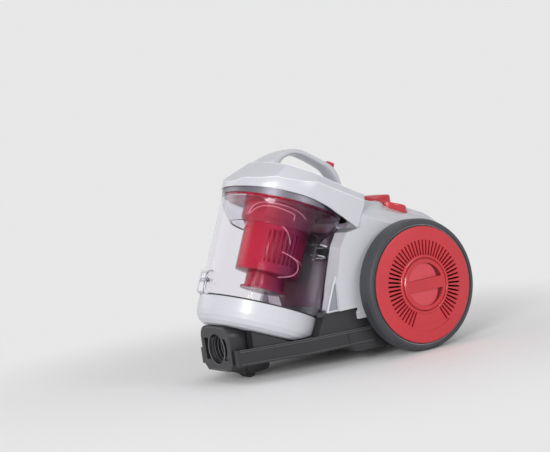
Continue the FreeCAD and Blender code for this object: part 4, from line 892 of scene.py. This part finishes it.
def rounded_triangle(inset, radius=1.4, steps=8):
    """Outline of FIN moved inwards: each corner is an arc whose centre lies on its bisector."""
    points = []
    for before, corner, after in zip(np.roll(FIN, 1, 0), FIN, np.roll(FIN, -1, 0)):
        a, b = before - corner, after - corner
        a, b = a / np.linalg.norm(a), b / np.linalg.norm(b)
        half = math.acos(a.dot(b)) / 2
        centre = corner + (a + b) / np.linalg.norm(a + b) * (inset + radius) / math.sin(half)
        start, end = math.atan2(a[0], -a[1]), math.atan2(-b[0], b[1])
        t = start + (end - start) % (2 * math.pi) * np.linspace(0, 1, steps)
        points.append(centre + radius * np.stack([np.cos(t), np.sin(t)], -1))
    return np.concatenate(points)


for label, side in SIDES:
    # the panel's grey is painted shade
    for part, profile, ends, finish in (("border", FIN_BORDER, False, "shell_white"),
                                        ("panel", FIN_PANEL, True, "fin_painted_shade")):
        rings = [np.insert(rounded_triangle(inset), 0, side * x, 1) for x, inset in profile]
        name = "cradle_fin_%s_%s" % (part, label)
        loft(name, np.array(rings) / 1000, "body", finish,
             capped=ends, closed=not ends)
print("fins made")

# %% [markdown]
# ## Flap latch
# The latch is one bent strap of clear plastic with a rounded back, a hook at its foot and a
# barrel for its pin. The strap follows a smooth side profile and has a soft-edged section.

# %% Latch strap
LATCH_LINE = ((-88.6, 29.2), (-91.6, 28.6), (-94.4, 25.6), (-95.8, 20), (-95.9, 12), (-95.6, 4),
              (-94.4, -1.4), (-90.5, -2.2), (-87.6, -2.2))
LATCH_HALF, LATCH_THICK = 9.8, 1.2
track = smooth_path(LATCH_LINE, 48)
up, side = superellipse(20, power=3.2)
rings = track[:, None] + LATCH_THICK * square_to(track)[:, None] * up[None, :, None]
width = np.broadcast_to(LATCH_HALF * side[None, :, None], rings.shape[:2] + (1,))
strap = np.concatenate([width, rings], -1)
latch = loft("latch_strap", bin_place(strap), "latch", "milky")
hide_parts("flap_latch")


def barrel_rings(centre, radius, bore, half):
    """Tube along x round (v, w): a rounded section between bore and radius, turned round."""
    angle = np.linspace(0, 2 * np.pi, 40, endpoint=False)[:, None]
    up, side = superellipse(16, power=5)
    r = (radius + bore) / 2 + (radius - bore) / 2 * up[None]
    x = half * side[None] + 0 * angle
    v, w = centre[0] + r * np.cos(angle), centre[1] + r * np.sin(angle)
    return bin_place(np.stack([x, v, w], -1))


barrel = barrel_rings((-92, 16), radius=3.4, bore=2.1, half=9.6)
loft("latch_barrel", barrel, "latch", "milky", capped=False, closed=True)
print("latch made")

# %% [markdown]
# ## Screws
# Six screws hold the tray to the body, and two hold the body's back. A head is a polar grid: a
# low dome, with a star-shaped socket pressed into its middle, where the radius of the socket's
# wall swings six times round.

# %% Screw heads
TRAY_SCREWS = ((62, -30, 24.7), (-62, -30, 24.7), (78, 60, 15.5), (-78, 60, 15.5),
               (70, 140, 15.5), (-70, 140, 15.5))
REAR_SCREWS = ((-58, 177, 84), (58, 177, 84))
DOME, DOME_DROP, SOCKET_DEPTH, SKIRT = 1.3, 0.45, 1.1, 0.6
SOCKET_SHARE, SOCKET_SWING, SOCKET_BLUR = 0.5, 0.16, 0.09


def screw(name, centre, axis, radius, rings=16, spokes=48):
    """Height = dome - depth inside r < share * (1 + swing * cos 6a); turned from z to axis."""
    r = np.r_[np.linspace(0.12, 1, rings), 1.0] * radius
    a = np.linspace(0, 2 * np.pi, spokes, endpoint=False)
    lobe = SOCKET_SHARE * radius * (1 + SOCKET_SWING * np.cos(6 * a))
    inside = 1 / (1 + np.exp((r[:, None] - lobe[None]) / SOCKET_BLUR))
    height = DOME * (1 - DOME_DROP * (r[:, None] / radius) ** 2) - SOCKET_DEPTH * inside
    height[-1] = -SKIRT
    flat = np.stack([r[:, None] * np.cos(a), r[:, None] * np.sin(a), height], -1)
    turn = np.array(Vector((0, 0, 1)).rotation_difference(Vector(axis)).to_matrix())
    loft(name, (flat @ turn.T + np.array(centre)) / 1000, "body", "steel")


for word, places, axis, radius in (("tray", TRAY_SCREWS, (0, 0, -1), 3.6),
                                   ("rear", REAR_SCREWS, (0, 1, 0), 3.2)):
    for index, place in enumerate(places):
        screw("%s_screw_%d" % (word, index + 1), place, axis, radius)
print("screws", len(TRAY_SCREWS) + len(REAR_SCREWS))

# %% [markdown]
# ## Parking slot
# Behind, a charcoal frame takes the clip of the floor tool when the cleaner is put away. It is a
# rounded frame whose section is a soft square, carried round a superellipse, with a dark back.

# %% Parking slot
SLOT_Y, SLOT_Z = 176.4, 103
SLOT_HALF_X, SLOT_HALF_Z, SLOT_THICK, SLOT_PROUD = 21, 15, 4.2, 4.6
SLOT_BACK = ((0.02, 1.0), (0.5, 1.0), (1.0, 1.0), (1.0, 0.3))


def frame_rings(power=6, count=96):
    """Section (offset outwards, offset rearwards) carried round a superellipse in the XZ plane."""
    c, s = superellipse(count, power)
    up, side = superellipse(16, power=4)
    outwards, rearwards = SLOT_THICK / 2 * up, SLOT_PROUD / 2 * side
    x = c[:, None] * (SLOT_HALF_X + outwards[None])
    z = SLOT_Z + s[:, None] * (SLOT_HALF_Z + outwards[None])
    y = SLOT_Y + SLOT_PROUD / 2 + rearwards[None] + 0 * x
    return np.stack([x, y, z], -1) / 1000


def back_rings(power=6, count=64):
    """Plate just inside the frame: SLOT_BACK gives its (share of size, distance rearwards)."""
    c, s = superellipse(count, power)
    scale, rearwards = np.array(SLOT_BACK).T[:, :, None]
    x = (SLOT_HALF_X - 0.5) * c[None] * scale
    z = SLOT_Z + (SLOT_HALF_Z - 0.5) * s[None] * scale
    return np.stack([x, SLOT_Y + rearwards + 0 * x, z], -1) / 1000


loft("parking_frame", frame_rings(), "body", "charcoal", capped=False, closed=True)
loft("parking_back", back_rings(), "body", "seam_dark")
print("parking slot made")

# %% [markdown]
# ## Rings inside the hose port
# The port's bore carries three thin ribs that grip the hose end, and a lip at its mouth. Their
# paler grey is painted highlight.

# %% Port rings
PORT_Z = 47.5
PORT_RIBS = (-164.0, -159.0, -154.0)


def port_ring(name, y, inner, outer, thick):
    """Rounded ring round the port's axis: a superellipse section of the given size turned round."""
    up, side = superellipse(16, power=3)
    angle = np.linspace(0, 2 * np.pi, 96, endpoint=False)[:, None]
    r = (inner + outer) / 2 + (outer - inner) / 2 * up[None]
    run = y + thick / 2 * side[None]
    rings = np.stack([r * np.cos(angle), run + 0 * angle, PORT_Z + r * np.sin(angle)], -1) / 1000
    # the ring's paler grey is painted highlight
    loft(name, rings, "body", "painted_highlight_grey", capped=False, closed=True)


port_ring("port_lip", -172.2, inner=21.0, outer=23.2, thick=1.2)
for index, y in enumerate(PORT_RIBS):
    port_ring("port_rib_%d" % (index + 1), y, inner=18.9, outer=19.9, thick=1.4)
print("port rings made")

# %% [markdown]
# ## Rolled edges of the tray and the port
# The side rails have rolled lips, and so has the port's face. Both are beads along straight runs:
# the rails follow the tray's plan at three heights, and the port's line follows its face, two
# round shoulders above and two cut corners below. The beads are a paler grey than the charcoal:
# the thin line of light along each lip is painted highlight.

# %% Rolled edges
RAIL_PLAN = ((52.6, -165.5), (85.0, -75.0), (96.5, 12.0), (97.7, 22.0))
RAIL_LINES = (("top", 46.5), ("lip", 43.9), ("foot", 27.6))
PORT_FACE, PORT_HALF, PORT_LOW, PORT_HIGH = -172.75, 34, 17.5, 79.5
PORT_SHOULDER, PORT_CUT = 17, 10


def straight_run(corners, step=4.0):
    """Points on straight lines through the corners, about step millimetres apart."""
    corners = np.asarray(corners, float)
    length = np.r_[0, np.cumsum(np.linalg.norm(np.diff(corners, axis=0), axis=1))]
    at = np.linspace(0, length[-1], int(length[-1] / step) + 2)
    return np.stack([np.interp(at, length, corners[:, k]) for k in range(3)], -1)


def edge_bead(name, points, thick, across, closed=False):
    """Bead of radius thick along millimetre points: rings in the plane of across and its normal."""
    loop = np.roll(points, -1, 0) - np.roll(points, 1, 0)
    ahead = unit(loop if closed else np.gradient(points, axis=0))
    rings = tube(points, across, unit(np.cross(ahead, across)), thick)
    # the bead's paler grey is painted highlight
    loft(name, rings / 1000, "body", "painted_highlight_grey", capped=not closed, closed=closed)


def port_outline(inset, steps=10):
    """Face of the port drawn in by inset: shoulders are quarter circles, lower corners are cut."""
    half, low, high = PORT_HALF - inset, PORT_LOW + inset, PORT_HIGH - inset
    turn = np.linspace(0, np.pi / 2, steps)
    arc = PORT_SHOULDER - inset
    right = np.stack([half - arc + arc * np.cos(turn), high - arc + arc * np.sin(turn)], -1)
    cut = PORT_CUT - 0.4 * inset
    left = (right * [-1, 1])[::-1]
    outline = np.concatenate([[(half - cut, low), (half, low + cut)], right, left,
                              [(-half, low + cut), (-half + cut, low)]])
    return np.stack([outline[:, 0], np.full(len(outline), PORT_FACE), outline[:, 1]], -1)


for label, side in SIDES:
    for word, z in RAIL_LINES:
        run = straight_run([(side * x, y, z) for x, y in RAIL_PLAN])
        edge_bead("rail_%s_%s" % (word, label), run, thick=0.42, across=(0, 0, 1.0))
line = port_outline(inset=2.2)
edge_bead("port_edge_line", line, thick=0.45, across=(0, 1.0, 0), closed=True)
print("rolled edges made")

# %% [markdown]
# ## Soft edges
# Moulded edges are never sharp: each has a radius of half a millimetre or so, which catches a
# thin line of light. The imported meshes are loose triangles, so a Weld modifier joins them first
# and a Bevel modifier then rounds only the edges where two faces meet at a clear angle.

# %% Bevelled edges on the mouldings
EDGE_WIDTHS = {"bin_lid": 0.0011, "body_shell": 0.0007, "hose_port": 0.0010, "chassis_base": 0.0010,
               "release_button": 0.0008}


def soften(item, width, angle=20, segments=2):
    """Welds the loose triangles and rounds every edge sharper than angle by width metres."""
    weld = item.modifiers.new("join", "WELD")
    weld.merge_threshold = 1e-6
    bevel = item.modifiers.new("edge", "BEVEL")
    bevel.width, bevel.segments = width, segments
    bevel.limit_method, bevel.angle_limit = "ANGLE", math.radians(angle)
    bevel.harden_normals = True
    bevel.use_clamp_overlap = True


for name, width in EDGE_WIDTHS.items():
    soften(nodes[name], width)
print("softened", len(EDGE_WIDTHS))

# %% [markdown]
# ## Floor finish
# Near the machine the disc is a pale, slightly glossy floor, so that it carries the shadow.
# Further out it fades to an even pale tone: Light Path tells rays that come from the camera, a
# glossy face or a clear one, and those see a plain emission, which adds no light to the scene.

# %% Floor finish
FADE_START, FADE_END = 0.26, 0.75
f = Finish("studio_floor")
f.shader.inputs["Base Color"].default_value = (0.93, 0.93, 0.94, 1)
f.link(f.spread(f.noise(3.0, 3.0), 0.50, 0.60), f.shader.inputs["Roughness"])
f.shader.inputs["Specular IOR Level"].default_value = 0.05
reach = f.node("ShaderNodeVectorMath", {0: f.place}, operation="LENGTH").outputs["Value"]
fade = f.node("ShaderNodeMapRange", {"Value": reach, "From Min": FADE_START, "From Max": FADE_END},
              interpolation_type="SMOOTHSTEP").outputs["Result"]
rays = looking_rays(f.tree)
share = f.node("ShaderNodeMath", {0: rays, 1: fade}, operation="MULTIPLY").outputs[0]
even = f.node("ShaderNodeEmission", {"Color": PALE, "Strength": 1.0})
mix = f.node("ShaderNodeMixShader")
f.link(share, mix.inputs[0])
f.link(f.shader.outputs[0], mix.inputs[1])
f.link(even.outputs[0], mix.inputs[2])
f.link(mix.outputs[0], f.output.inputs["Surface"])
dress(floor, f.material)
print("floor finished")
